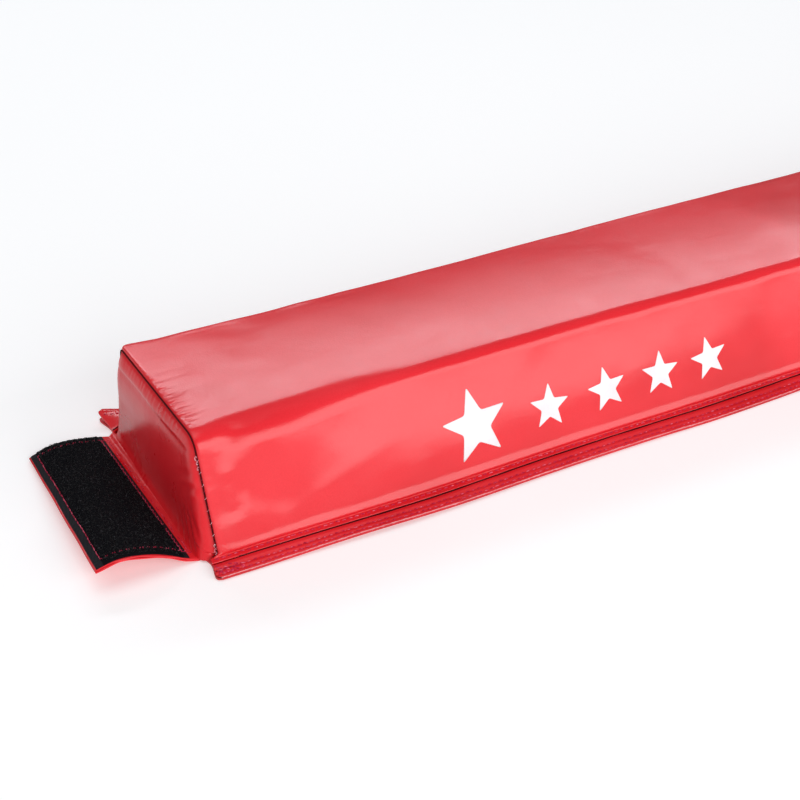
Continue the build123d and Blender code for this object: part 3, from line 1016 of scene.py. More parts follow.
def hem(side):
    sd = 5 if side == "a" else 6
    xs = np.arange(END, FACE - 0.2, 0.9)
    ytop = np.concatenate([[HEM_Y], np.linspace(HEM_Y - 0.35, LINES[0] + 1.2, 6), np.linspace(LINES[0] + 0.8, LINES[0] - 0.8, 5), np.linspace(LINES[0] - 1.3, LINES[1] + 1.2, 3),
                           np.linspace(LINES[1] + 0.8, LINES[1] - 0.8, 5), np.linspace(LINES[1] - 1.4, -OUT + 0.5, 4), [-OUT + 0.12]])
    n1 = waves(81 + sd, 22.0, 8)
    prof_y = np.concatenate([[HEM_Y - 1.05, HEM_Y - 0.25, HEM_Y], ytop, [-OUT, -OUT, -OUT + 0.25, -OUT, -OUT, -OUT + 0.3, -78.4]])
    X = np.broadcast_to(xs[:, None], (len(xs), len(prof_y)))
    Y = np.broadcast_to(prof_y[None], X.shape)
    Z = np.zeros(X.shape)
    k0, k1 = 3, 3 + len(ytop)
    Z[:, k0:k1] = hem_top(X[:, k0:k1], Y[:, k0:k1])
    Z[:, k0] -= 0.45
    Z[:, k0 + 1] -= 0.08
    Z[:, 0], Z[:, 1], Z[:, 2] = 1.02, 1.25, 1.9
    edge = hem_top(X[:, -1], np.full(len(xs), -OUT), False)
    fray = waves(91 + sd, 2.6, 8)(xs, 0.0) * 0.10
    Z[:, k1 - 1] -= 0.05
    for j, zz in zip(range(k1, len(prof_y)), (1.80, 1.60, 1.54, 1.48, 1.10, 1.02, 1.02)):
        Z[:, j] = zz
    Yf = Y.copy()
    Yf[:, k1 - 1:k1 + 2] -= fray[:, None]
    Yf[:, k1 + 3:k1 + 5] -= (waves(95 + sd, 3.1, 8)(xs, 0.0) * 0.12)[:, None]
    Z = Z + n1(X, Y) * 0.05 * (Z > 1.85)
    b, a = bow(X), np.abs(Y)
    P = np.stack([X + flange_end(a) * (1 - sstep(0.0, 26.0, X - END)), Yf - b, Z + lift(X, a)], -1)
    nu, nv = P.shape[:2]
    faces = grid_faces(nu, nv, close_v=True)
    ends = len(faces)
    faces.append(list(range(nv)))
    faces.append([(nu - 1) * nv + k for k in range(nv - 1, -1, -1)])
    ob = make("hem_" + side, P.reshape(-1, 3), faces, side)
    idx = [0] * len(ob.data.polygons)
    for i in range(nu - 1):
        for j in range(k1 - 1, k1 + 3):
            idx[i * nv + j] = 1
    idx[-1] = idx[-2] = 1
    ob.data.polygons.foreach_set("material_index", idx)
    ob = outward(ob)
    dress(ob, M_HEM, M_EDGE)
    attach(ob, "section_" + side)
    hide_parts("front_hem_" + side)
    return ob


def zipper(side):
    """Tapes and coil under the slit; they follow the flange."""
    xs = np.arange(END + 8.0, FACE - 6.0, 3.0)
    tapes = []
    for y0, y1, z0, z1 in ((-83.0, SLIT_Y - 2.0, 1.02, 1.45), (SLIT_Y + 2.0, -66.8, 1.02, 1.9)):
        py = np.array([y0, y1, y1, y0])
        pz = np.array([z1, z1, z0, z0])
        ny = 8
        yy = np.concatenate([np.linspace(y0, y1, ny), np.linspace(y1, y0, ny)])
        zz = np.concatenate([np.full(ny, z1), np.full(ny, z0)])
        X, Y = np.meshgrid(xs, yy, indexing="ij")
        Z = np.broadcast_to(zz[None], X.shape) + 0.04 * np.cos(X * 1.3) * (zz[None] > 1.3)
        P = np.stack([X, Y - bow(X), Z + lift(X, np.abs(Y))], -1)
        nu, nv = P.shape[:2]
        f = grid_faces(nu, nv, close_v=True)
        f.append(list(range(nv)))
        f.append([(nu - 1) * nv + k for k in range(nv - 1, -1, -1)])
        tapes.append(make("t", P.reshape(-1, 3), f, side))
    tape = outward(join("zip_tapes_" + side, tapes))
    dress(tape, M_ZTAPE)
    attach(tape, "section_" + side)
    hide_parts("zipper_tapes_" + side)
    # two interlocked coils, each a fine spiral
    lines = []
    for k, yc in enumerate((SLIT_Y - 0.85, SLIT_Y + 0.85)):
        t = np.arange(0, (xs[-1] - xs[0]) / 1.5, 1 / 6.0)
        x = xs[0] + 1.5 * t + 0.75 * k
        ang = 2 * np.pi * t
        y = yc + 1.05 * np.cos(ang) * (1 if k else -1)
        z = 1.62 + 0.42 * np.sin(ang)
        lines.append(np.stack([x, y - bow(x), z + lift(x, np.abs(y))], 1))
    coil = tubes("zip_coil_" + side, lines, 0.26, side, ring=4)
    dress(coil, M_COIL)
    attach(coil, "section_" + side)
    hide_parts("zipper_coil_" + side)
    return tape, coil


def hem_surface(side):
    def f(x, y):
        x, y = np.broadcast_arrays(np.asarray(x, float), np.asarray(y, float))
        a = np.abs(y)
        return np.stack([x + flange_end(a) * (1 - sstep(0.0, 26.0, x - END)), y - bow(x), hem_top(x, y) + lift(x, a)], -1)
    return f


def sew_sections(side):
    f = COVERS[side]
    out = []
    x = np.arange(END + 1.5, FACE - 1.0, 0.6)
    k = 300 if side == "a" else 400
    s1 = S_FOOT1 - 1.3
    p = Path(f, x, np.full_like(x, s1))
    out.append(stitches("s1", p, side, seed=k + 1, wander=0.18))
    hs = hem_surface(side)
    for i, ly in enumerate(LINES):
        q = Path(hs, x + 1.2, np.full_like(x, ly))
        out.append(stitches("s2", q, side, seed=k + 2 + i, wander=0.18, high=0.16))
    for i, d in enumerate((2.6, 14.4)):
        q = Path(f, x, np.full_like(x, S_FOOT2 + d))
        out.append(stitches("s3", q, side, seed=k + 5 + i, wander=0.15))
    # the row that closes the end of the flange, and the back-stitched start of the rows
    a = np.linspace(-OUT + 1.4, -75.3, 30)
    p = Path(hs, END + 1.6 + 0 * a, a)
    out.append(stitches("s4", p, side, seed=k + 8, pitch=2.4, wander=0.35))
    for i, (ly, far) in enumerate(((-78.3, 12.0), (-79.8, 15.0), (-80.9, 11.0), (-82.0, 14.0))):
        xb = np.arange(END + 1.8, END + far, 0.5)
        q = Path(hs, xb, np.full_like(xb, ly))
        out.append(stitches("s5", q, side, seed=k + 9 + i, pitch=2.9, wander=0.35, high=0.2, slant=0.7))
    ob = join("stitches_" + side, out)
    dress(ob, M_THREAD)
    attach(ob, "section_" + side)
    return ob


def seam_threads(side):
    """Threads seen in the sunk seam round each end: dark lock stitches, and pale ones down the front."""
    f = COVERS[side]
    made = []
    for which, plane, seed in (("end", END, 500), ("fold", FACE, 520)):
        sgn = 1.0 if which == "end" else -1.0
        r = np.random.default_rng(seed + (0 if side == "a" else 7))
        s = np.arange(S_FOOT1 + 1.5, S_FOOT2 - 1.5, 3.4)
        s = s + r.normal(0, 0.25, len(s))
        pale, dark = [], []
        for k, sk in enumerate(s):
            t = np.linspace(-1, 1, 7)
            base = f(np.array([plane]), np.array([sk]))[0]
            nrm = np.array([0, np.interp(sk, PS, PN[:, 0]), np.interp(sk, PS, PN[:, 1])])
            tng = np.array([0, nrm[2], -nrm[1]])
            half = 0.60 + 0.15 * r.uniform()
            xx = t * half
            zz = 0.75 + 0.15 * (1 - t ** 2) - 0.5 * np.abs(t) ** 6
            if which == "end":
                line = base + np.outer(xx, [1, 0, 0]) + np.outer(zz, nrm) + np.outer(t * (0.55 + r.normal(0, 0.1)), tng)
            else:
                line = base + np.outer(xx * 0.6 - 0.5, [1, 0, 0]) + np.outer(zz, nrm) + np.outer(t * 0.5, tng)
            if which == "fold":
                dark.append(line)
            elif sk < S_EDGE1 - 2:
                (pale if k % 2 else dark).append(line)
        made.append((which, pale, dark))
    pale = sum((m[1] for m in made), [])
    dark = sum((m[2] for m in made), [])
    # a few loose loops of thread by the front corner
    if side == "a":
        r = np.random.default_rng(77)
        for sk, size in ((S_EDGE1 - 3.0, 1.1), (S_EDGE1 - 5.6, 0.8), (S_EDGE1 - 8.4, 0.9), (S_FOOT1 + 6.5, 0.8), (S_FOOT1 + 4.0, 1.0), (S_FOOT1 + 1.8, 0.8)):
            base = f(np.array([END]), np.array([sk]))[0]
            t = np.linspace(0, 2 * np.pi * 0.86, 16)
            line = base + np.stack([-0.3 - size * 0.55 * (1 - np.cos(t)), -1.0 - 0.35 * np.sin(t * 0.5), size * 1.1 * np.sin(t)], 1) + r.normal(0, 0.06, (16, 3))
            pale.append(line)
    obs = []
    for nm, lines, mat in (("pale_threads_", pale, M_PALE), ("seam_threads_", dark, M_LOCK)):
        if not lines:
            continue
        ob = tubes(nm + side, lines, 0.17, side, ring=5)
        dress(ob, mat)
        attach(ob, "section_" + side)
        obs.append(ob)
    return obs


def creases(side):
    """Painted shade: near-black cords laid in the bottoms of the sunk seams and of the slit, standing in for the shade
    there.
    """
    f = COVERS[side]
    lines, rad = [], []
    s = np.arange(S_FOOT1 + 0.4, S_FOOT2 - 0.2, 0.9)
    ny, nz = np.interp(s, PS, PN[:, 0]), np.interp(s, PS, PN[:, 1])
    for plane, off, high in ((END, -0.1, 0.62), (FACE, 0.0, 0.35)):
        P = f(np.full_like(s, plane), s)
        P = P + np.stack([np.full_like(s, off), ny * high, nz * high], 1)
        lines.append(P)
        rad.append(0.42)
    # the slit's shade, painted as a dark cord laid along it
    x = np.arange(END + 11.0, FACE - 8.0, 3.0)
    y = np.full_like(x, SLIT_Y + 0.2)
    lines.append(np.stack([x, y - bow(x), 2.60 + lift(x, np.abs(y))], 1))
    rad.append(0.52)
    ob = tubes("creases_" + side, lines, rad, side, ring=6)
    dress(ob, M_PAINTED_CREASE_SHADE)
    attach(ob, "section_" + side)
    return ob


# ------------------------------------------------------------------ loop flap
REAR = np.array([(-7.4, 0), (-11.5, 1.1), (-15, 1.9), (-19.5, 2.8), (-24.5, 3.5), (-30, 4.0), (-35.5, 4.1), (-40, 3.7), (-44.6, 2.9), (-49, 1.6), (-53.6, 0.1)], float)
FRONT = np.array([(-7.4, 0), (-12, 1.5), (-16, 3.2), (-22, 6.7), (-29, 10.1), (-35.6, 12.2), (-42, 13.6), (-46.6, 14.2), (-51, 14.3), (-56.3, 13.4), (-62, 12.1)], float)
FLAP_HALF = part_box("flap_upper_ply")[1].y * MM
TAPE_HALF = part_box("loop_tape")[1].y * MM
PLY = 0.6


def catmull(A, v):
    """Smooth curve through the rows of A; v runs 0..1."""
    n = len(A) - 1
    q = np.clip(np.asarray(v, float), -0.2, 1.0) * n
    i = np.clip(np.floor(q).astype(int), 0, n - 1)
    t = (q - i)[..., None]
    p0, p1, p2, p3 = A[np.maximum(i - 1, 0)], A[i], A[i + 1], A[np.minimum(i + 2, n)]
    return 0.5 * ((2 * p1) + (-p0 + p2) * t + (2 * p0 - 5 * p1 + 4 * p2 - p3) * t ** 2 + (-p0 + 3 * p1 - 3 * p2 + p3) * t ** 3)


FLAP_NOISE = waves(601, 60.0, 8)


def flap_mid(y, v):
    """Underside of the flap's lower ply, at cross position y and station v (0 root, 1 tip)."""
    y, v = np.broadcast_arrays(np.asarray(y, float), np.asarray(v, float))
    a, b = catmull(REAR, np.clip(v, 0, 1)), catmull(FRONT, np.clip(v, 0, 1))
    w = np.clip(0.5 - y / (2 * FLAP_HALF), 0, 1)[..., None]
    p = a * (1 - w) + b * w
    tuck = np.clip(-v / 0.14, 0, 1)
    x = END + p[..., 0] + tuck * 4.4
    y = y * (1 + tuck * 0.024)
    z = p[..., 1] + 0.35 * FLAP_NOISE(y, p[..., 0]) * sstep(0.15, 0.5, v) * (p[..., 1] > 0)
    return np.stack([x, y, np.maximum(z, 0.0) + 1.0 * sstep(0.05, 0.5, tuck)], -1)


def flap_level(h):
    """A face h mm above the underside."""
    def f(y, v):
        eps = 0.4
        P = flap_mid(y, v)
        A = flap_mid(y + eps, v) - flap_mid(y - eps, v)
        vb = np.clip(v, 0.01, 0.99)
        B = flap_mid(y, vb + 0.01) - flap_mid(y, vb - 0.01)
        N = np.cross(B, A)
        N /= np.maximum(np.linalg.norm(N, axis=-1, keepdims=True), 1e-9)
        N = np.where(N[..., 2:3] < 0, -N, N)
        return P + N * np.asarray(h)[..., None] if np.ndim(h) else P + N * h
    return f


def flap_ply(name, h0, h1, half, v0, v1, node, gap):
    ys = np.concatenate([np.linspace(half, half - 1.5, 5), np.linspace(half - 3, -half + 3, 56), np.linspace(-half + 1.5, -half, 5)])
    vs = np.concatenate([np.linspace(v0, 0.0, 7)[:-1], np.linspace(0.0, v1 - 0.03, 60), np.linspace(v1 - 0.02, v1, 4)])
    Y, V = np.meshgrid(ys, vs, indexing="ij")
    # plies part a little at the front edge
    part = gap * sstep(half - 5, half, -Y) * np.clip(np.sin(np.clip(V, 0, 1) * np.pi * 1.1), 0, 1)
    n2 = waves(611 + int(h1 * 10), 30, 6)(Y, V * 60) * 0.35
    Y2 = Y + n2 * (np.abs(Y) > half - 1) * sstep(0.1, 0.3, V)
    top = flap_level(h1 - part)(Y2, V)
    bot = flap_level(h0 - part)(Y2, V)
    nu, nv = Y.shape
    m = nu * nv
    verts = np.concatenate([top.reshape(-1, 3), bot.reshape(-1, 3)])
    faces = grid_faces(nu, nv) + grid_faces(nu, nv, True, base=m)
    rims = [(j, j + 1) for j in range(nv - 1)] + [(i * nv + nv - 1, (i + 1) * nv + nv - 1) for i in range(nu - 1)]
    rims += [((nu - 1) * nv + j + 1, (nu - 1) * nv + j) for j in range(nv - 2, -1, -1)] + [((i + 1) * nv, i * nv) for i in range(nu - 2, -1, -1)]
    start = len(faces)
    faces += [(p, q, q + m, p + m) for p, q in rims]
    ob = make(name, verts, faces)
    for p in list(ob.data.polygons)[start:]:
        p.material_index = 1
        p.use_smooth = False
    outward(ob)
    dress(ob, M_PANEL, M_HEM)
    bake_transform(ob)
    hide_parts(node)
    return ob


def flap():
    low = flap_ply("flap_lower", 0.0, PLY, FLAP_HALF, -0.14, 1.0, "flap_lower_ply", 0.35)
    up = flap_ply("flap_upper", PLY + 0.02, 2 * PLY, FLAP_HALF - 0.2, -0.14, 0.994, "flap_upper_ply", -0.1)
    # the tape: woven selvages along both long edges, pile between
    v0, v1 = 0.102, 0.972
    ys = np.concatenate([[TAPE_HALF, TAPE_HALF - 0.25], np.arange(TAPE_HALF - 0.7, -TAPE_HALF + 0.5, -0.62), [-TAPE_HALF + 0.25, -TAPE_HALF]])
    vs = np.linspace(v0, v1, 96)
    Y, V = np.meshgrid(ys, vs, indexing="ij")
    wv = (V - v0) / (v1 - v0)
    selv = np.minimum(sstep(0.075, 0.115, wv), 1 - sstep(0.905, 0.945, wv))
    r = np.random.default_rng(9001)
    fuzz = r.uniform(-0.30, 0.30, Y.shape) + waves(9002, 5.0, 10)(Y, wv * 50) * 0.16
    edge = np.minimum(np.minimum(np.arange(len(ys))[:, None], len(ys) - 1 - np.arange(len(ys))[:, None]) / 1.0, 1.0)
    edge2 = np.minimum(np.minimum(np.arange(len(vs)), len(vs) - 1 - np.arange(len(vs))) / 1.0, 1.0)[None]
    ribs = 0.05 * np.cos(Y * 2 * np.pi / 1.3)
    calm_edge = 0.35 + 0.65 * sstep(0.5, 4.0, TAPE_HALF - np.abs(Y))
    H = 2 * PLY + 0.12 + (0.62 + ribs * (1 - selv)) * edge * edge2 + selv * (0.62 + fuzz) * calm_edge
    # the sewn rectangle presses the pile down
    inner = 3.3
    dline = np.minimum(np.abs(wv - 0.078) * 50, np.abs(wv - 0.925) * 50)
    dline = np.minimum(dline, np.minimum(np.abs(Y - (TAPE_HALF - 5.2)), np.abs(Y + (TAPE_HALF - 5.2))))
    H = H - 0.42 * np.exp(-(dline / 0.8) ** 2) * (0.3 + 0.7 * selv)
    top = flap_level(H)(Y, V)
    bot = flap_level(2 * PLY + 0.04)(Y, V)
    nu, nv = Y.shape
    m = nu * nv
    verts = np.concatenate([top.reshape(-1, 3), bot.reshape(-1, 3)])
    faces = grid_faces(nu, nv) + grid_faces(nu, nv, True, base=m)
    rims = [(j, j + 1) for j in range(nv - 1)] + [(i * nv + nv - 1, (i + 1) * nv + nv - 1) for i in range(nu - 1)]
    rims += [((nu - 1) * nv + j + 1, (nu - 1) * nv + j) for j in range(nv - 2, -1, -1)] + [((i + 1) * nv, i * nv) for i in range(nu - 2, -1, -1)]
    faces += [(p, q, q + m, p + m) for p, q in rims]
    tape = make("loop_tape_cloth", verts, faces)
    idx = np.ones(len(tape.data.polygons), int)
    pile_face = (selv[:-1, :-1] + selv[1:, 1:]).ravel() > 0.8
    idx[:len(pile_face)] = np.where(pile_face, 0, 1)
    tape.data.polygons.foreach_set("material_index", idx.tolist())
    outward(tape)
    dress(tape, M_PILE, M_SELV)
    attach(tape, "flap")
    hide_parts("loop_tape")
    # fibres that stand out of the pile
    n = 5200
    fy = r.uniform(-TAPE_HALF + 0.8, TAPE_HALF - 0.8, n)
    fw = r.uniform(0.115, 0.905, n)
    fv = v0 + (v1 - v0) * fw
    P0 = flap_level(2 * PLY + 1.15)(fy, fv)
    up0 = flap_level(2 * PLY + 2.15)(fy, fv) - P0
    th = r.uniform(0, 2 * np.pi, n)
    span = r.uniform(0.5, 1.3, n)
    tall = r.uniform(0.25, 0.85, n)
    t = np.linspace(0, 1, 5)
    side_dir = np.stack([np.cos(th), np.sin(th), np.zeros(n)], 1)
    C = P0[:, None] + side_dir[:, None] * ((t - 0.5)[None, :, None] * span[:, None, None]) + up0[:, None] * ((np.sin(np.pi * t)[None] * tall[:, None])[..., None])
    T = np.gradient(C, axis=1)
    T /= np.linalg.norm(T, axis=2, keepdims=True)
    A = np.cross(T, up0[:, None] / np.linalg.norm(up0, axis=1)[:, None, None] + 1e-3)
    A /= np.maximum(np.linalg.norm(A, axis=2, keepdims=True), 1e-9)
    B = np.cross(A, T)
    ang = np.arange(3) * 2 * np.pi / 3
    rad = r.uniform(0.055, 0.10, n)
    Vt = C[:, :, None] + rad[:, None, None, None] * (np.cos(ang)[None, None, :, None] * A[:, :, None] + np.sin(ang)[None, None, :, None] * B[:, :, None])
    one = np.array(grid_faces(5, 3, close_v=True))
    q = (one[None] + (np.arange(n) * 15)[:, None, None]).reshape(-1, 4).tolist()
    for k in range(n):
        q.append([k * 15, k * 15 + 1, k * 15 + 2])
        q.append([k * 15 + 14, k * 15 + 13, k * 15 + 12])
    fib = outward(make("tape_fibres", Vt.reshape(-1, 3), q))
    dress(fib, M_FIBRE)
    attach(fib, "flap")
    # sewn rectangle and the rows towards the beam
    rows = []
    f = flap_level(2 * PLY + 0.12 + 0.62 + 0.25)
    ye = TAPE_HALF - 5.2
    w0, w1 = v0 + (v1 - v0) * 0.078, v0 + (v1 - v0) * 0.925
    yy = np.linspace(ye, -ye, 240)
    rows.append(stitches("r", Path(f, yy, np.full_like(yy, w1), -1), seed=701, wander=0.08, high=0.40, rad=0.24, slant=0.12))
    rows.append(stitches("r", Path(f, yy, np.full_like(yy, w0), -1), seed=702, wander=0.08, high=0.34, rad=0.24, slant=0.12, skip=0.04))
    vv = np.linspace(v0 + 0.004, w1, 120)
    for k, y0 in enumerate((ye, -ye)):
        rows.append(stitches("r", Path(f, np.full_like(vv, y0), vv, -1), seed=703 + k, wander=0.10, high=0.50, rad=0.26, slant=0.12))
    g = flap_level(2 * PLY + 0.0)
    vv = np.linspace(0.035, v0 - 0.002, 12)
    for k, y0 in enumerate((ye, -ye)):
        rows.append(stitches("r", Path(g, np.full_like(vv, y0), vv, -1), seed=706 + k, wander=0.2, high=0.2))
    yy = np.linspace(FLAP_HALF - 4, -FLAP_HALF + 4, 240)
    rows.append(stitches("r", Path(g, yy, np.full_like(yy, 0.062), -1), seed=708, wander=0.2, high=0.05, rad=0.2, skip=0.25))
    ob = join("flap_stitches", rows)
    dress(ob, M_THREAD)
    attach(ob, "flap")
    return low, up, tape


def foot_row():
    """The row that joins the flap to the end panel's foot, by the front corner."""
    y = np.linspace(-38.0, -65.5, 60)
    x = END - 6.6 + 1.2 * sstep(-58, -66, y)

    def f(a, b):
        a, b = np.broadcast_arrays(a, b)
        return np.stack([b, a, np.full(a.shape, 1.75)], -1)
    ob = stitches("foot_row", Path(f, y, x, -1), seed=720, wander=0.25, high=0.2, rad=0.27, deep=0.8)
    dress(ob, M_THREAD)
    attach(ob, "section_a")
    return ob


# ------------------------------------------------------------------ fold hinge, hook strip, print
def hinge():
    lo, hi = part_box("hinge_strip_a")[0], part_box("hinge_strip_b")[1]
    x0, x1, yh = lo.x * MM, hi.x * MM, hi.y * MM
    xs = np.concatenate([[x0, x0 + 0.2], np.linspace(x0 + 0.8, FOLD - 2.2, 16), np.linspace(FOLD - 1.9, FOLD + 1.9, 21), np.linspace(FOLD + 2.2, x1 - 0.8, 16), [x1 - 0.2, x1]])
    ys = np.concatenate([[-yh, -yh + 0.2], np.linspace(-yh + 0.8, yh - 0.8, 70), [yh - 0.2, yh]])
    X, Y = np.meshgrid(xs, ys, indexing="ij")
    rim = np.minimum(np.minimum(np.minimum(X - x0, x1 - X), yh - np.abs(Y)), 0.8) / 0.8
    Zt = 65.42 + 0.36 * np.sqrt(np.clip(rim, 0, 1)) + 0.02 * waves(801, 18, 8)(X, Y)
    for lx in (x0 + 3.0, x1 - 3.0, x0 + 7.0, x1 - 7.0):
        Zt = Zt - 0.16 * np.exp(-((X - lx) / 0.7) ** 2) * (np.abs(Y) < yh - 2)
    top = np.stack([X, Y, Zt], -1)
    bot = np.stack([X, Y, np.full(X.shape, 65.02)], -1)
    nu, nv = X.shape
    m = nu * nv
    verts = np.concatenate([top.reshape(-1, 3), bot.reshape(-1, 3)])
    faces = grid_faces(nu, nv) + grid_faces(nu, nv, True, base=m)
    rims = [(j, j + 1) for j in range(nv - 1)] + [(i * nv + nv - 1, (i + 1) * nv + nv - 1) for i in range(nu - 1)]
    rims += [((nu - 1) * nv + j + 1, (nu - 1) * nv + j) for j in range(nv - 2, -1, -1)] + [((i + 1) * nv, i * nv) for i in range(nu - 2, -1, -1)]
    faces += [(p, q, q + m, p + m) for p, q in rims]
    ob = outward(make("hinge_cloth", verts, faces))
    dress(ob, M_HEM)
    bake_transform(ob)
    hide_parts("hinge_strip_a", "hinge_strip_b")
    for side in "ab":
        rows = []
        y = np.linspace(-yh + 2, yh - 2, 200)

        def f(a, b):
            a, b = np.broadcast_arrays(a, b)
            return np.stack([b, a, np.full(a.shape, 65.63)], -1)
        for k, lx in enumerate((x0 + 3.0, x0 + 7.0)):
            rows.append(stitches("h", Path(f, y, np.full_like(y, lx), -1), side, seed=810 + k, high=0.10, rad=0.26))
        st = join("hinge_stitches_" + side, rows)
        dress(st, M_THREAD)
        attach(st, "section_" + side)
    return ob


def hooks():
    """The hook strip under the far end: a woven ground with rows of small hooks."""
    lo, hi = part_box("hook_strip_b")
    x0, x1, y1 = lo.x * MM + 0.2, hi.x * MM - 0.2, hi.y * MM - 0.2
    xs, ys = np.linspace(x0, x1, 40), np.linspace(-y1, y1, 90)
    X, Y = np.meshgrid(xs, ys, indexing="ij")
    top = np.stack([X, Y, np.full(X.shape, 0.98)], -1)
    bot = np.stack([X, Y, 0.42 + 0.03 * np.cos(X * 4.0) * np.cos(Y * 4.0)], -1)
    nu, nv = X.shape
    m = nu * nv
    verts = np.concatenate([top.reshape(-1, 3), bot.reshape(-1, 3)])
    faces = grid_faces(nu, nv) + grid_faces(nu, nv, True, base=m)
    rims = [(j, j + 1) for j in range(nv - 1)] + [(i * nv + nv - 1, (i + 1) * nv + nv - 1) for i in range(nu - 1)]
    rims += [((nu - 1) * nv + j + 1, (nu - 1) * nv + j) for j in range(nv - 2, -1, -1)] + [((i + 1) * nv, i * nv) for i in range(nu - 2, -1, -1)]
    faces += [(p, q, q + m, p + m) for p, q in rims]
    ob = outward(make("hook_ground", verts, faces))
    dress(ob, M_SELV)
    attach(ob, "section_b")
    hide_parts("hook_strip_b")
    # hooks: short bent filaments, pointing down
    gx, gy = np.meshgrid(np.arange(x0 + 3.0, x1 - 3.0, 1.5), np.arange(-y1 + 1.2, y1 - 1.2, 1.5), indexing="ij")
    gx, gy = gx.ravel(), gy.ravel()
    n = len(gx)
    t = np.linspace(0, 1, 5)
    C = np.zeros((n, 5, 3))
    C[..., 0] = gx[:, None] + 0.42 * np.array([0.0, 0.0, 0.45, 1.0, 1.15])[None]
    C[..., 1] = gy[:, None]
    C[..., 2] = np.array([0.55, 0.22, 0.10, 0.14, 0.26])[None]
    T = np.gradient(C, axis=1)
    T /= np.linalg.norm(T, axis=2, keepdims=True)
    A = np.broadcast_to(np.array([0.0, 1.0, 0.0]), T.shape)
    B = np.cross(A, T)
    ang = np.arange(4) * 2 * np.pi / 4
    V = C[:, :, None] + 0.085 * (np.cos(ang)[None, None, :, None] * A[:, :, None] + np.sin(ang)[None, None, :, None] * B[:, :, None])
    one = np.array(grid_faces(5, 4, close_v=True))
    q = (one[None] + (np.arange(n) * 20)[:, None, None]).reshape(-1, 4).tolist()
    for k in range(n):
        q.append([k * 20 + j for j in range(4)])
        q.append([k * 20 + 16 + j for j in range(3, -1, -1)])
    hk = outward(make("hook_pins", V.reshape(-1, 3), q))
    dress(hk, M_HOOK)
    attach(hk, "section_b")
    return ob


def stars():
    """Plain five-pointed stars printed on the front wall."""
    f = COVERS["a"]
    out = []
    for cx, up, R, turn in ((158.0, 27.0, 21.0, 4.0), (205.0, 25.0, 13.0, -6.0), (243.0, 25.0, 13.0, 5.0), (279.0, 25.0, 13.0, -4.0), (313.0, 25.0, 13.0, 6.0)):
        ang = np.radians(90 + turn + np.arange(11) * 36.0)
        rr = np.where(np.arange(11) % 2 == 0, R, R * 0.42)
        px, py = rr * np.cos(ang), rr * np.sin(ang)
        m = 14
        bx = np.concatenate([np.linspace(px[k], px[k + 1], m, endpoint=False) for k in range(10)])
        by = np.concatenate([np.linspace(py[k], py[k + 1], m, endpoint=False) for k in range(10)])
        # soften the points
        for _ in range(2):
            bx = 0.25 * np.roll(bx, 1) + 0.5 * bx + 0.25 * np.roll(bx, -1)
            by = 0.25 * np.roll(by, 1) + 0.5 * by + 0.25 * np.roll(by, -1)
        q = np.linspace(0.0, 1.0, 17)[1:]
        gx = END + cx + np.outer(q, bx)
        gs = S_FOOT1 + up + np.outer(q, by)
        c = np.array([[END + cx, S_FOOT1 + up]])
        X = np.concatenate([[c[0, 0]], gx.ravel()])
        S = np.concatenate([[c[0, 1]], gs.ravel()])
        P = f(X, S)
        e = 0.05
        N = np.cross(f(X + e, S) - f(X - e, S), f(X, S + e) - f(X, S - e))
        N /= np.linalg.norm(N, axis=1, keepdims=True)
        n = len(bx)
        faces = [[0, 1 + k, 1 + (k + 1) % n] for k in range(n)]
        for i in range(len(q) - 1):
            a = 1 + i * n
            faces += [[a + k, a + n + k, a + n + (k + 1) % n, a + (k + 1) % n] for k in range(n)]
        outer = P + N * 0.11
        inner = P - N * 0.04
        M = len(P)
        last = 1 + (len(q) - 1) * n
        faces2 = [[M + v for v in g[::-1]] for g in faces]
        rimf = [[last + k, M + last + k, M + last + (k + 1) % n, last + (k + 1) % n] for k in range(n)]
        out.append(make("star", np.concatenate([outer, inner]), faces + faces2 + rimf))
    ob = outward(join("star_print", out))
    dress(ob, M_PRINT)
    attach(ob, "section_a")
    return ob


# ------------------------------------------------------------------ build
for side in "ab":
    cover_wrap(side)
    end_panel(side, "end")
    end_panel(side, "fold")
    foam(side)
    base_ply(side)
    hem(side)
    zipper(side)
    sew_sections(side)
    seam_threads(side)
    creases(side)
flap()
foot_row()
hinge()
hooks()
stars()

for side in "ab":
    for node in ("zipper_slider_", "zipper_pull_", "zipper_stops_"):
        ob = bpy.data.objects.get(node + side)
        if ob is None:
            ob = next((o for o in bpy.data.objects if o.name.startswith(node + side) or o.get("node") == node + side), None)
        if ob is not None:
            for k in range(max(1, len(ob.material_slots))):
                if len(ob.material_slots) == 0:
                    ob.data.materials.append(M_METAL)
                else:
                    ob.material_slots[k].material = M_METAL

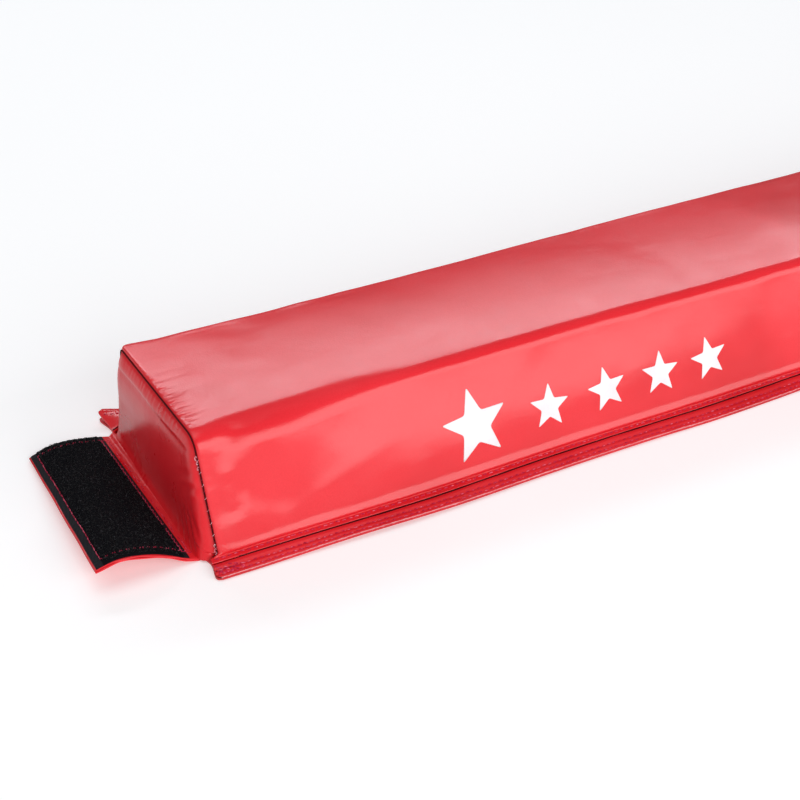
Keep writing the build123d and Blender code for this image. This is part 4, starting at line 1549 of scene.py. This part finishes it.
# ------------------------------------------------------------------ floor, light, camera
bm = bmesh.new()
bmesh.ops.create_grid(bm, x_segments=24, y_segments=24, size=9.0)
me = bpy.data.meshes.new("floor")
bm.to_mesh(me)
bm.free()
floor = bpy.data.objects.new("floor", me)
floor.location = (0, 0, -0.0003)
bpy.context.scene.collection.objects.link(floor)
fm = Mat("pale_floor")
fn = fm.noise(1.2, 3.0, 0.5)
fm.set(Base_Color=fm.ramp(fn, [(0.3, (0.86, 0.86, 0.865)), (0.7, (0.89, 0.89, 0.895))]), Roughness=fm.span(fn, 0.75, 0.85, 0.3, 0.7))
fm.b.inputs["Specular IOR Level"].default_value = 0.2
fm.set(Emission_Color=(1.0, 1.0, 1.0, 1.0), Emission_Strength=0.27)
dress(floor, fm.m)


def softbox(name, size, at, look, power, colour=(1.0, 1.0, 1.0)):
    d = bpy.data.lights.new(name, "AREA")
    d.shape = "RECTANGLE"
    d.size, d.size_y = size
    d.energy = power
    d.color = colour
    o = bpy.data.objects.new(name, d)
    o.location = at
    o.rotation_euler = (Vector(look) - Vector(at)).to_track_quat("-Z", "Y").to_euler()
    bpy.context.scene.collection.objects.link(o)
    return o


softbox("key_front", (3.4, 1.6), (-0.15, -2.3, 0.98), (-0.55, 0.0, 0.03), 56.0)
softbox("back_box", (3.4, 0.38), (0.10, 2.35, 1.89), (-0.55, 0.0, 0.05), 25.0, (0.90, 0.95, 1.0))
softbox("high_left", (1.9, 3.4), (-1.85, 0.1, 2.5), (-1.3, 0.05, 0.0), 24.0)

world = bpy.data.worlds.new("studio")
world.use_nodes = True
bg = world.node_tree.nodes["Background"]
bg.inputs["Color"].default_value = (0.95, 0.97, 1.0, 1)
bg.inputs["Strength"].default_value = 0.26
bpy.context.scene.world = world
bpy.context.scene.view_settings.view_transform = "Standard"

AZ, EL, ROLL = math.radians(-28.364), math.radians(32.584), math.radians(-0.157)
back = Vector((math.sin(AZ) * math.cos(EL), -math.cos(AZ) * math.cos(EL), math.sin(EL)))
fwd = -back
right = fwd.cross(Vector((0, 0, 1))).normalized()
up = right.cross(fwd)
right2 = right * math.cos(ROLL) + up * math.sin(ROLL)
up2 = up * math.cos(ROLL) - right * math.sin(ROLL)
cam = bpy.data.cameras.new("camera")
cam.sensor_width = 36.0
cam.lens = 83.013
cam.clip_start, cam.clip_end = 0.02, 60.0
co = bpy.data.objects.new("camera", cam)
co.matrix_world = Matrix(((right2.x, up2.x, back.x, -1.29578), (right2.y, up2.y, back.y, -0.77566), (right2.z, up2.z, back.z, 0.57837), (0, 0, 0, 1)))
bpy.context.scene.collection.objects.link(co)
bpy.context.scene.camera = co

bpy.context.view_layer.update()
